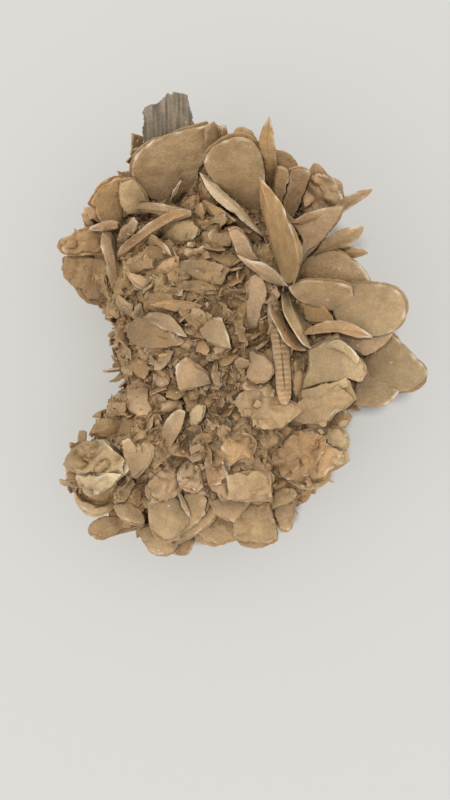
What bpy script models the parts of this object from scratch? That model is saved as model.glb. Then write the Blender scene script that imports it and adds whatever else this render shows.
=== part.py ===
"""A gypsum sand rose: flat crystals grown through each other into one rounded cluster.

The model is in metres, +Z up. The places and sizes written below are in millimetres, in a frame whose
vertical axis runs through the middle of the cluster. At the end the finished solid is moved so that
the middle of its bottom is the origin.
"""

import math

import bmesh
import bpy
import numpy as np
from mathutils import Matrix, Vector, noise

NAME = "sand_rose"
MM = 0.001
SEED = 41
GOLDEN_ANGLE = math.radians(137.5)

SIDES = [(9.5, 6), (18.5, 8), (27.5, 10), (99.0, 12)]  # crystals up to this wide have this many corners
SQUARE_ENDED = ("slab", "fan")  # outlines whose tip is an edge and not a point
RIM_SHARE = 0.9  # thickness of a crystal's rim over that of its middle
TINY = 1e-10  # m3, less than any crystal holds
FLAT_ANGLE = math.radians(3.0)  # faces that meet flatter than this are one face

# The lumps of the body that the crystals stand on: centre and radii.
LUMPS = [
    ((0, 2, 30), (51, 65, 43)),
    ((17, 25, 46), (28, 32, 28)),
    ((-18, 8, 50), (38, 42, 24)),
    ((-34, -2, 32), (31, 37, 28)),
    ((2, -58, 30), (43, 36, 36)),
    ((-58, 36, 32), (25, 24, 22)),
    ((-44, 24, 42), (24, 26, 25)),
    ((40, -10, 40), (26, 32, 24)),
    ((-40, 72, 36), (23, 27, 20)),
    ((-10, 56, 42), (25, 22, 28)),
    ((-69, -71, 44), (16, 16, 17)),
    ((-41, -50, 34), (28, 28, 27)),
    ((-41, -84, 31), (26, 20, 16)),
]
LUMP_DETAIL = 2
LUMP_ROUGHNESS = 3.0
LUMP_GRAIN = 0.06

# Each crystal: its root, its tip, its width, its thickness, the way its broad face looks, its outline.
NORTH_WEST = [
    ((-30, 58, 42), (-35, 89, 76), 39, 5, (0.12, -0.75, 0.65), "disc"),
    ((-14, 68, 48), (-14, 89, 80), 12, 3, (0.3, -0.8, 0.5), "fan"),
    ((-8, 70, 48), (-8, 86, 78), 7, 3, (0.1, -0.8, 0.5), "fan"),
    ((-1, 64, 52), (-1, 85, 82), 11, 3, (0.0, -0.8, 0.6), "disc"),
    ((-33, 84, 52), (-32, 110, 62), 13, 14, (0.0, -0.25, 0.97), "slab"),
    ((-35.5, 78, 50), (-35.5, 104, 60), 25, 12, (0.0, -0.25, 0.97), "slab"),
    ((-54, 48, 46), (-66, 68, 69), 27, 4.5, (0.4, -0.5, 0.75), "disc"),
    ((-44, 52, 54), (-54, 66, 66), 12, 3, (0.5, -0.5, 0.7), "petal"),
    ((-58, 38, 48), (-88, 38, 58), 21, 6, (0.15, -0.35, 0.92), "petal"),
    ((-54, 22, 34), (-88, 31, 46), 19, 8, (0.35, -0.2, 0.92), "petal"),
    ((-56, 40, 56), (-72, 47, 64), 12, 3.5, (0.1, -0.3, 0.95), "slab"),
    ((-68, 44, 50), (-77, 54, 58), 6, 2.5, (0.2, -0.5, 0.85), "petal"),
    ((-61, 15, 50), (-66, 47, 61), 20, 3.5, (0.75, 0.15, 0.6), "lens"),
    ((-58, 31, 58), (-26, 53, 70), 18, 4.5, (0.4, -0.68, 0.62), "lens"),
    ((-47, 44, 64), (-33, 33, 64), 10, 3, (-0.5, -0.55, 0.66), "lens"),
    ((-50, 56, 60), (-24, 53, 69), 9, 3, (0.0, -0.5, 0.87), "petal"),
    ((-30, 46, 62), (-20, 45, 69), 12, 3, (0.0, -0.2, 0.97), "petal"),
    ((-55, 40, 58), (-53, 52, 63), 9, 3, (0.1, -0.2, 0.97), "petal"),
    ((-30, 59, 50), (-28, 70, 66), 7, 3, (0.6, -0.6, 0.5), "spear"),
]

NORTH = [
    ((0, 50, 54), (-4, 78, 96), 29, 4, (0.0, -0.82, 0.56), "petal"),
    ((9, 57, 54), (10, 82, 106), 11, 3.5, (-0.15, -0.9, 0.4), "lens"),
    ((11, 43, 70), (-20, 69, 73), 18, 4.5, (-0.7, -0.65, 0.33), "lens"),
    ((18, 10, 76), (7, 61, 79), 72, 5, (-0.96, -0.22, 0.16), "lens"),
    ((22, 13, 80), (18, 43, 95), 22, 3.5, (0.8, -0.1, 0.6), "lens"),
    ((15, 48, 60), (16, 67, 84), 7, 3, (0.0, -0.75, 0.65), "fan"),
    ((20, 46, 58), (24, 68, 82), 13, 3, (0.0, -0.75, 0.65), "fan"),
    ((22, 42, 52), (36, 67, 77), 26, 3.5, (-0.3, -0.55, 0.78), "fan"),
    ((25, 37, 62), (56, 58, 87), 9, 3, (-0.1, -0.6, 0.8), "spear"),
    ((23, 15, 66), (38, 49, 91), 24, 3.5, (-0.15, -0.6, 0.78), "fan"),
    ((19, 42, 86), (45, 50, 90), 9, 3.5, (0.0, -0.75, 0.65), "lens"),
]

EAST = [
    ((30, 24, 62), (51, 40, 91), 13, 3.5, (-0.2, -0.6, 0.75), "spear"),
    ((34, 26, 58), (56, 31, 79), 12, 3, (-0.3, -0.5, 0.85), "spear"),
    ((23, 16, 62), (57, 21, 76), 21, 3.5, (0.1, -0.3, 0.94), "disc"),
    ((31, 0, 56), (32, 18, 88), 27, 3, (0.0, -0.85, 0.52), "disc"),
    ((27, 0, 66), (37, 9, 76), 12, 3, (-0.3, -0.4, 0.85), "petal"),
    ((34, 6, 70), (71, 7, 89), 26, 4.5, (-0.42, -0.1, 0.9), "petal"),
    ((38, -4, 66), (65, -8, 78), 15, 3, (-0.25, -0.2, 0.94), "petal"),
    ((48, -14, 60), (81, -23, 84), 25, 4, (-0.4, -0.2, 0.9), "petal"),
    ((42, -22, 58), (65, -35, 73), 20, 3.5, (-0.3, 0.1, 0.95), "petal"),
    ((25, -2, 76), (57, -6, 84), 8, 3, (-0.1, -0.5, 0.85), "spear"),
    ((17, 15, 72), (29, -11, 76), 26, 3.5, (0.8, 0.36, 0.45), "lens"),
    ((12, 12, 72), (26, -12, 74), 20, 6, (0.75, 0.45, 0.45), "lens"),
    ((17, -38, 64), (14, 12, 68), 32, 7, (0.97, 0.05, 0.25), "lens"),
    ((27, -11, 66), (53, -20, 78), 19, 3.5, (-0.2, -0.15, 0.97), "petal"),
    ((25, -28, 70), (46, -23, 80), 9, 3, (-0.1, -0.4, 0.9), "petal"),
    ((26, -9, 68), (30, -28, 72), 10, 3.5, (0.6, 0.2, 0.75), "lens"),
    ((22, -36, 64), (49, -33, 78), 22, 3.5, (-0.2, -0.2, 0.96), "petal"),
    ((36, -42, 56), (50, -43, 63), 13, 3, (-0.2, 0.0, 0.97), "petal"),
    ((46, -35, 50), (58, -40, 57), 7, 2.5, (-0.2, 0.0, 0.97), "spear"),
    ((52, 4, 48), (63, 12, 58), 15, 3.5, (-0.5, 0.2, 0.8), "petal"),
]

MIDDLE = [
    ((8, -24, 68), (6, -52, 68), 23, 12, (0.05, -0.1, 0.99), "disc"),
    ((-10, -24, 70), (-32, -22, 78), 15, 3.5, (0.0, -0.1, 0.99), "fan"),
    ((-46, 3, 72), (-25, -5, 78), 8, 3, (-0.2, -0.6, 0.75), "lens"),
    ((-52, 0, 64), (-29, -8, 71), 18, 3.5, (-0.25, -0.3, 0.92), "disc"),
    ((-22, 1, 74), (-7, -9, 79), 11, 3, (-0.1, -0.1, 0.98), "petal"),
    ((4, -2, 70), (5, 21, 78), 11, 3.5, (-0.3, -0.1, 0.95), "slab"),
    ((9, 27, 72), (-6, 42, 79), 15, 3, (-0.3, -0.4, 0.87), "petal"),
    ((20, 17, 82), (-2, 30, 84), 9, 3, (-0.3, -0.6, 0.75), "lens"),
    ((-34, -57, 60), (-27, -39, 69), 10, 3, (-0.3, 0.1, 0.95), "spear"),
    ((-52, 26, 64), (-33, 28, 75), 13, 3.5, (-0.2, -0.2, 0.96), "petal"),
    ((-31, 32, 72), (-7, 25, 78), 12, 3, (0.0, -0.2, 0.98), "petal"),
    ((-33, 15, 72), (-12, 17, 77), 13, 3.5, (0.0, -0.15, 0.98), "fan"),
    ((0, -12, 72), (14, -19, 77), 13, 3.5, (0.0, -0.2, 0.98), "petal"),
    ((-48, -24, 50), (-40, -45, 63), 17, 4, (-0.3, 0.1, 0.95), "disc"),
    ((-22, -44, 66), (-12, -32, 73), 11, 3, (-0.3, -0.2, 0.93), "petal"),
    ((-22, 46, 64), (-8, 50, 74), 12, 3, (-0.2, -0.4, 0.9), "petal"),
    ((-46, 12, 66), (-30, 8, 74), 11, 3, (-0.2, -0.4, 0.9), "petal"),
]

SOUTH_EAST = [
    ((12, -60, 60), (45, -57, 71), 34, 6, (-0.2, 0.05, 0.97), "disc"),
    ((26, -46, 66), (48, -50, 73), 15, 3.5, (-0.2, -0.1, 0.97), "petal"),
    ((28, -59, 66), (48, -65, 74), 15, 3.5, (-0.2, 0.1, 0.97), "petal"),
    ((24, -60, 62), (36, -77, 69), 17, 3.5, (-0.1, 0.2, 0.97), "petal"),
    ((24, -52, 54), (46, -66, 58), 30, 3.5, (-0.25, 0.2, 0.94), "disc"),
    ((-1, -58, 62), (0, -82, 67), 27, 3.5, (0.0, -0.1, 0.99), "slab"),
    ((-5, -70, 56), (-5, -93, 61), 16, 3.5, (0.0, -0.1, 0.99), "slab"),
    ((6, -76, 46), (6, -105, 56), 21, 12, (0.05, -0.15, 0.98), "slab"),
    ((16, -74, 38), (21, -100, 43), 11, 3.5, (0.2, -0.1, 0.97), "slab"),
    ((12, -78, 48), (25, -84, 52), 13, 3, (0.1, -0.1, 0.98), "petal"),
    ((-8, -82, 40), (-10, -105, 47), 17, 6, (0.0, -0.1, 0.99), "slab"),
    ((-14, -54, 62), (-2, -64, 67), 18, 4.5, (-0.1, -0.1, 0.98), "disc"),
]

SOUTH_WEST = [
    ((-28, -63, 50), (-44, -86, 56), 25, 6, (-0.1, -0.05, 0.99), "disc"),
    ((-25, -64, 56), (-26, -81, 60), 17, 3.5, (0.1, -0.15, 0.98), "disc"),
    ((-29, -78, 52), (-37, -102, 57), 24, 3.5, (0.0, -0.15, 0.98), "petal"),
    ((-31, -82, 52), (-16, -92, 55), 24, 3, (0.0, -0.1, 0.99), "disc"),
    ((-32, -86, 47), (-13, -97, 49), 24, 3, (0.05, -0.1, 0.99), "disc"),
    ((-40, -88, 40), (-43, -110, 46), 22, 3.5, (-0.1, -0.1, 0.98), "disc"),
    ((-30, -80, 34), (-29, -113, 41), 13, 4.5, (0.0, -0.1, 0.99), "slab"),
    ((-31, -79, 58), (-26, -91, 59), 9, 2.5, (0.85, 0.3, 0.4), "lens"),
    ((-46, -82, 40), (-57, -95, 46), 15, 3.5, (-0.1, -0.1, 0.98), "disc"),
    ((-53, -72, 58), (-51, -53, 63), 16, 3, (0.1, -0.1, 0.98), "petal"),
    ((-54, -92, 30), (-77, -100, 37), 16, 3.5, (-0.1, -0.1, 0.98), "disc"),
    ((-48, -92, 26), (-54, -107, 33), 9, 3, (0.0, -0.1, 0.98), "spear"),
    ((-62, -68, 32), (-73, -91, 42), 25, 3.5, (-0.1, -0.2, 0.97), "disc"),
    ((-58, -70, 46), (-58, -86, 50), 12, 3, (0.5, -0.1, 0.85), "disc"),
    ((-60, -52, 44), (-72, -46, 50), 14, 3.5, (-0.3, 0.2, 0.93), "petal"),
]

# The small ball of curved crystals at the south-west corner: layers laid round a centre.
BALL_CENTRE = (-69, -71, 44)
BALL_RADIUS = 17.5
BALL_PLATES = 13

# Where the top is worn to a rubble of small crystals: centre, half axes and how many.
WORN_AREAS = [
    ((-20, 14), (30, 32), 16),
    ((-22, -34), (34, 22), 12),
    ((-58, 0), (12, 24), 4),
]

# Round the sides of each lump, in the order of LUMPS: how many crystals are tried, and how far they stand out.
FLANKS = [
    (20, 5.5),
    (12, 5.5),
    (0, 0),
    (12, 2.5),
    (18, 5.5),
    (12, 4.0),
    (0, 0),
    (14, 6.0),
    (10, 3.0),
    (10, 4.5),
    (0, 0),
    (10, 2.5),
    (8, 3.0),
]
FLANK_BAND = (-0.8, 0.15)  # how low and how high on a lump they stand, as a share of its height
FLANK_FLOOR = 3.0  # no flank crystal reaches lower than this


def outline(shape, t):
    """Half width of a crystal, as a share of its widest, at t of its length from root to tip."""
    if shape == "disc":
        return math.sqrt(max(0.0, 1 - (2 * t - 1) ** 2))
    if shape == "lens":
        return math.sin(math.pi * t) ** 0.9
    if shape == "spear":
        return math.sin(math.pi * min(1.0, t + 0.12) ** 0.7) ** 0.8
    if shape == "petal" and t < 0.54:
        return math.sqrt(1 - (1.45 * t - 0.78) ** 2)
    if shape == "petal":
        return math.sqrt(max(0.0, 1 - ((t - 0.54) / 0.46) ** 2.6))
    if shape == "fan":
        return min(1.0, 0.35 + 0.76 * t) if t < 0.97 else 0.6
    return 1.0 if 0.03 < t < 0.97 else 0.7


def corners(width):
    """Corners in the outline of a crystal of this width."""
    return next(count for limit, count in SIDES if width <= limit)


def helper(bm, name):
    """A mesh object that only helps to make the solid."""
    mesh = bpy.data.meshes.new(name)
    bm.to_mesh(mesh)
    bm.free()
    obj = bpy.data.objects.new(name, mesh)
    obj.hide_render = True
    obj.display_type = "WIRE"
    return obj


def crystal(name, root, tip, width, thickness, face, shape):
    """One crystal: a flattened ball with a blunt rim, drawn out to its outline."""
    root, tip = Vector(root), Vector(tip)
    along = (tip - root).normalized()
    out = Vector(face)
    out = (out - along * out.dot(along)).normalized()
    across = out.cross(along)
    bm = bmesh.new()
    bmesh.ops.create_uvsphere(bm, u_segments=corners(width), v_segments=3, radius=1.0)
    if shape in SQUARE_ENDED:
        half_corner = Matrix.Rotation(math.pi / corners(width), 3, "Z")
        bmesh.ops.rotate(bm, verts=bm.verts, matrix=half_corner)
    ring_radius = math.sin(math.radians(60))
    for vert in bm.verts:
        x, y, z = vert.co
        pole = abs(z) > 0.9
        t = 0.5 if pole else (1 + x / ring_radius) / 2
        side = 0.0 if pole or abs(y) < 1e-4 else math.copysign(1.0, y)
        level = math.copysign(thickness / 2, z) * (1.0 if pole else RIM_SHARE)
        place = root.lerp(tip, t) + across * side * outline(shape, t) * width / 2 + out * level
        vert.co = place * MM
    bmesh.ops.recalc_face_normals(bm, faces=bm.faces)
    return helper(bm, name)


def lump(name, centre, radii):
    """One rough lump of the body."""
    bm = bmesh.new()
    bmesh.ops.create_icosphere(bm, subdivisions=LUMP_DETAIL, radius=1.0)
    for vert in bm.verts:
        place = Vector(centre) + vert.co * Vector(radii)
        place += vert.co * LUMP_ROUGHNESS * noise.noise(place * LUMP_GRAIN)
        vert.co = place * MM
    return helper(bm, name)


def level_way(turn):
    """The level direction at an angle from +X."""
    return Vector((math.cos(turn), math.sin(turn), 0))


def ball(rng):
    """Curved layers laid round the small ball."""
    found = []
    for i in range(BALL_PLATES):
        height = 0.95 - 1.25 * i / BALL_PLATES
        turn = i * GOLDEN_ANGLE + rng.uniform(-0.2, 0.2)
        out = level_way(turn) * math.sqrt(1 - height**2) + Vector((0, 0, height))
        along = out.cross(Vector((0.3, 0.2, 0.9))).normalized()
        middle = Vector(BALL_CENTRE) + out * (BALL_RADIUS - 2.5)
        half = along * rng.uniform(7.5, 9.5)
        width = rng.uniform(14, 18)
        found.append((middle - half, middle + half, width, 3, out + 0.25 * along, "disc"))
    return found


def lump_height(x, y):
    """Height of the top of the body at a place, or None past its edge."""
    heights = []
    for (cx, cy, cz), (rx, ry, rz) in LUMPS:
        left = 1 - ((x - cx) / rx) ** 2 - ((y - cy) / ry) ** 2
        if left > 0.05:
            heights.append(cz + rz * math.sqrt(left))
    return max(heights) if heights else None


def in_lump(place, centre, radii, share):
    """Whether a place is inside a lump drawn to a share of its size."""
    return sum(((p - c) / (r * share)) ** 2 for p, c, r in zip(place, centre, radii)) < 1


def rubble(rng):
    """Small tilted crystals strewn over the worn top of the body."""
    found = []
    for (cx, cy), (rx, ry), count in WORN_AREAS:
        for i in range(count):
            turn = i * GOLDEN_ANGLE
            reach = math.sqrt((i + 0.5) / count)
            x = cx + rx * reach * math.cos(turn)
            y = cy + ry * reach * math.sin(turn)
            height = lump_height(x, y)
            if height is None:
                continue
            heading = level_way(rng.uniform(0, math.tau))
            along = (heading + Vector((0, 0, rng.uniform(0.2, 0.9)))).normalized()
            face = Vector((0, 0, 1)) - 0.6 * heading + Vector(rng.uniform(-0.4, 0.4, 3))
            length = rng.uniform(9, 16)
            root = Vector((x, y, height - 1)) - along * length * 0.45
            shape = ("petal", "lens", "fan")[i % 3]
            found.append((root, root + along * length, rng.uniform(6, 9.4), 2.5, face, shape))
    return found


def flank(rng):
    """Crystals that stand out all round the sides of the lumps, down to the base."""
    found = []
    low, high = FLANK_BAND
    for number, (centre, radii) in enumerate(LUMPS):
        others = [other for other in LUMPS if other[0] != centre]
        count, reach = FLANKS[number]
        for i in range(count):
            height = low + (high - low) * (i + 0.5) / count
            out = level_way(i * GOLDEN_ANGLE + number) * math.sqrt(1 - height**2) + Vector((0, 0, height))
            place = Vector(centre) + out * Vector(radii)
            away = Vector(o / r for o, r in zip(out, radii)).normalized()
            along = (away + Vector((0, 0, rng.uniform(-0.1, 0.5)))).normalized()
            tip = place + along * reach * rng.uniform(0.8, 1.2)
            if tip.z < FLANK_FLOOR or any(in_lump(tip, *other, 1.02) for other in others):
                continue
            root = tip - along * rng.uniform(17, 22)
            side = Vector((0, 0, 1)).cross(away).normalized()
            face = Vector((0, 0, 1)) + side * rng.uniform(-1.8, 1.8)
            found.append((root, tip, rng.uniform(14, 22), rng.uniform(3, 4), face, "petal"))
    return found


def evaluated(obj):
    """The object's mesh with its modifiers worked out."""
    bpy.context.view_layer.update()
    graph = bpy.context.evaluated_depsgraph_get()
    return bpy.data.meshes.new_from_object(obj.evaluated_get(graph))


def union(base, parts, group):
    """The base and the parts as one mesh."""
    for part in parts:
        group.objects.link(part)
    join = base.modifiers.new("join", "BOOLEAN")
    join.operation = "UNION"
    join.operand_type = "COLLECTION"
    join.collection = group
    joined = evaluated(base)
    base.modifiers.remove(join)
    return joined


def cut_flat(obj, cutters):
    """Takes away what is under the floor, so that the body has a flat base."""
    bm = bmesh.new()
    bmesh.ops.create_cube(bm, size=1.0)
    bmesh.ops.scale(bm, verts=bm.verts, vec=(0.4, 0.4, 0.1))
    bmesh.ops.translate(bm, verts=bm.verts, vec=(0, 0, -0.05))
    cutter = helper(bm, "cutter_base")
    cutters.objects.link(cutter)
    cut = obj.modifiers.new("flat base", "BOOLEAN")
    cut.operation = "DIFFERENCE"
    cut.object = cutter
    flat = evaluated(obj)
    obj.modifiers.remove(cut)
    obj.data = flat


def shells(bm):
    """The separate closed surfaces of a bmesh, as sets of faces."""
    left = set(bm.faces)
    found = []
    while left:
        shell = {left.pop()}
        edge_of_search = list(shell)
        while edge_of_search:
            near = {face for edge in edge_of_search.pop().edges for face in edge.link_faces}
            fresh = near & left
            left -= fresh
            shell |= fresh
            edge_of_search += fresh
        found.append(shell)
    return found


def volume(shell):
    """What a closed set of faces holds: less than nothing for a pocket inside the solid."""
    return sum(face.calc_area() * face.normal.dot(face.calc_center_median()) for face in shell) / 3


def clean(mesh):
    """Fills the pockets inside, merges flat faces and puts the origin under the middle of the base."""
    bm = bmesh.new()
    bm.from_mesh(mesh)
    bmesh.ops.remove_doubles(bm, verts=bm.verts, dist=0.02 * MM)
    bmesh.ops.dissolve_degenerate(bm, edges=bm.edges, dist=0.02 * MM)
    bm.normal_update()
    for shell in shells(bm):
        if volume(shell) < TINY:
            bmesh.ops.delete(bm, geom=list(shell), context="FACES")
    bmesh.ops.dissolve_limit(bm, angle_limit=FLAT_ANGLE, verts=bm.verts, edges=bm.edges)
    bmesh.ops.triangulate(bm, faces=bm.faces)
    low = Vector([min(vert.co[i] for vert in bm.verts) for i in range(3)])
    high = Vector([max(vert.co[i] for vert in bm.verts) for i in range(3)])
    bmesh.ops.translate(bm, verts=bm.verts, vec=-Vector(((low.x + high.x) / 2, (low.y + high.y) / 2, low.z)))
    bm.to_mesh(mesh)
    bm.free()


def gypsum():
    """Sand-coloured, slightly rough crystal."""
    material = bpy.data.materials.new("gypsum")
    material.use_nodes = True
    shader = material.node_tree.nodes["Principled BSDF"]
    shader.inputs["Base Color"].default_value = (0.36, 0.25, 0.145, 1)
    shader.inputs["Roughness"].default_value = 0.6
    shader.inputs["Metallic"].default_value = 0.0
    return material


def clear_scene():
    """Removes what the startup scene holds."""
    for obj in list(bpy.data.objects):
        bpy.data.objects.remove(obj, do_unlink=True)


def collection(name, parent):
    """A new collection inside another."""
    made = bpy.data.collections.new(name)
    parent.children.link(made)
    return made


def main():
    clear_scene()
    scene = bpy.context.scene.collection
    body = collection("sand rose", scene)
    helpers = collection("helpers", scene)
    helpers.hide_render = True
    rng = np.random.default_rng(SEED)
    rows = NORTH_WEST + NORTH + EAST + MIDDLE + SOUTH_EAST + SOUTH_WEST
    rows += ball(rng) + rubble(rng) + flank(rng)
    crystals = [crystal(f"crystal_{i:03d}", *row) for i, row in enumerate(rows)]
    lumps = [lump(f"lump_{i}", *row) for i, row in enumerate(LUMPS)]
    rose = bpy.data.objects.new(NAME, bpy.data.meshes.new(NAME))
    body.objects.link(rose)
    helpers.objects.link(lumps[0])
    rose.data = union(lumps[0], lumps[1:] + crystals, collection("joined", helpers))
    cut_flat(rose, helpers)
    clean(rose.data)
    rose.data.name = NAME
    rose.data.materials.clear()
    rose.data.materials.append(gypsum())


main()
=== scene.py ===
"""The looks of a gypsum sand rose: curved, chipped crystals over a crumbly body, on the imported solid's places.

Places and sizes are in millimetres, in the frame of the solid's source: MOVE brings them to the row's frame.
"""

import math
from collections import namedtuple

import bmesh
import bpy
import numpy as np
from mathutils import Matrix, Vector, noise


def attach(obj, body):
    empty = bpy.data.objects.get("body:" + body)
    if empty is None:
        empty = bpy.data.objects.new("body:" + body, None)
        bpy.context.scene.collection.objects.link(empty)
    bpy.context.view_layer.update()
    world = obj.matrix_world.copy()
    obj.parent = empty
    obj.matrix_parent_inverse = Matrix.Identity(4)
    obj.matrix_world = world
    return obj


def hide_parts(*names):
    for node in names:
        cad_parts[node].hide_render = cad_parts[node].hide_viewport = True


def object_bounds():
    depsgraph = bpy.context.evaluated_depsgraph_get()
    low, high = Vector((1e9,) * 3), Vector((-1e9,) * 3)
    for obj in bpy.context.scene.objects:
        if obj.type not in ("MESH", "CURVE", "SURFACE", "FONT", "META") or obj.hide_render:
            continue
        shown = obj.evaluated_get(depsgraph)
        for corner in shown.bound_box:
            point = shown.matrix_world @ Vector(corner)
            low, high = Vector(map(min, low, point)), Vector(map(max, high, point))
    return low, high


MM = 0.001
MOVE = (3.76, 0.43, 0.0)
GOLDEN_ANGLE = math.radians(137.5)
HASH_STEPS = 20011

# The first number of each run of random draws: crystals take theirs from these and their place in the order.
SEED = 41
SHAPE_SEED, COMPANY_SEED = 1000, 5001
FIRST_SMALL = 3000

# The camera, straight over the cluster, the photograph's size in pixels, and a pixel's size at the floor.
EYE = (-8.5, -34.8, 420.0)
FRAME_WIDTH, FRAME_HEIGHT = 450, 800
MM_PER_PIXEL = 0.554

# Colours, sRGB: those of the crystals, then white for pale broken rims and grains (partly painted highlights and
# glints), then the painted shade of the hollows and of the deepest hollows.
COLOURS = {
    "tan": (176, 148, 110),
    "pale": (188, 163, 124),
    "honey": (183, 148, 103),
    "pink": (178, 149, 115),
    "cream": (206, 186, 152),
    "stone": (104, 92, 84),
    "buff": (170, 146, 110),
    "drab": (156, 134, 103),
    "grey": (126, 115, 99),
    "brown": (160, 131, 93),
    "orange": (178, 143, 103),
    "dust": (158, 129, 91),
    "white": (238, 228, 208),
    "hollow_shade": (128, 98, 64),
    "deep": (70, 50, 31),
}
STREWN_COLOURS = ("dust", "tan", "pink", "brown", "orange", "dust")

# How a crystal is worn. In mm: its chips, its grain, its growth steps, its greatest thickness, how far in from
# the rim it thickens, how much it is bent and how high its creases are. Then its thickness at the rim as a
# share, the share of its rim that is pale, its straight breaks, the thinner layers under it and the small
# crystals that stand on it.
Look = namedtuple("Look", "chip grain terrace most bevel bend crease blunt pale_share cuts layers buds")
LOOKS = {
    "clean": Look(1.2, 0.06, 0.10, 1.5, 0.7, 1.5, 0.20, 0.55, 0.35, 4, 1, 0),
    "smooth": Look(0.5, 0.04, 0.06, 2.0, 1.2, 1.6, 0.06, 0.50, 0.40, 1, 1, 0),
    "layered": Look(1.0, 0.08, 0.15, 1.4, 0.7, 2.0, 0.60, 0.60, 0.35, 5, 2, 0),
    "rough": Look(1.6, 0.12, 0.20, 1.5, 0.7, 2.0, 0.80, 0.60, 0.35, 5, 1, 1),
    "worn": Look(1.5, 0.18, 0.15, 1.8, 0.8, 1.6, 0.60, 0.60, 0.12, 5, 1, 0),
    "jagged": Look(2.2, 0.14, 0.25, 1.6, 0.7, 2.4, 1.60, 0.60, 0.35, 6, 2, 5),
    "crumpled": Look(2.4, 0.16, 0.25, 2.4, 0.7, 2.4, 2.40, 0.60, 0.45, 6, 3, 4),
    "scale": Look(1.0, 0.10, 0.00, 1.1, 0.5, 1.2, 0.30, 0.60, 0.15, 0, 0, 0),
    "bud": Look(1.4, 0.08, 0.00, 0.9, 0.5, 1.6, 0.80, 0.50, 0.25, 0, 0, 0),
    "ridged": Look(0.5, 0.06, 0.00, 3.6, 9.0, 1.2, 0.12, 0.15, 0.45, 1, 0, 0),
    "cross": Look(0.6, 0.08, 0.05, 5.0, 4.0, 0.6, 0.10, 0.40, 0.20, 0, 0, 0),
    "block": Look(1.2, 0.10, 0.00, 14.0, 1.0, 0.0, 0.00, 0.95, 0.05, 3, 0, 0),
}
CREASED = 0.4  # a look with higher creases than this also has straight breaks and loose layers

# The lumps that the body is grown together from: centre and half axes.
LUMPS = [
    ((0, 2, 30), (51, 65, 43)),
    ((17, 25, 46), (28, 32, 28)),
    ((-18, 8, 50), (38, 42, 24)),
    ((-34, -2, 32), (31, 37, 28)),
    ((2, -58, 30), (43, 36, 36)),
    ((-58, 36, 32), (25, 24, 22)),
    ((-44, 24, 42), (24, 26, 25)),
    ((40, -10, 40), (26, 32, 24)),
    ((-37, 71, 35), (20, 25, 18)),
    ((-10, 56, 42), (25, 22, 28)),
    ((-69, -71, 44), (16, 16, 17)),
    ((-41, -50, 34), (28, 28, 27)),
    ((-41, -84, 31), (26, 20, 16)),
]

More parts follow.
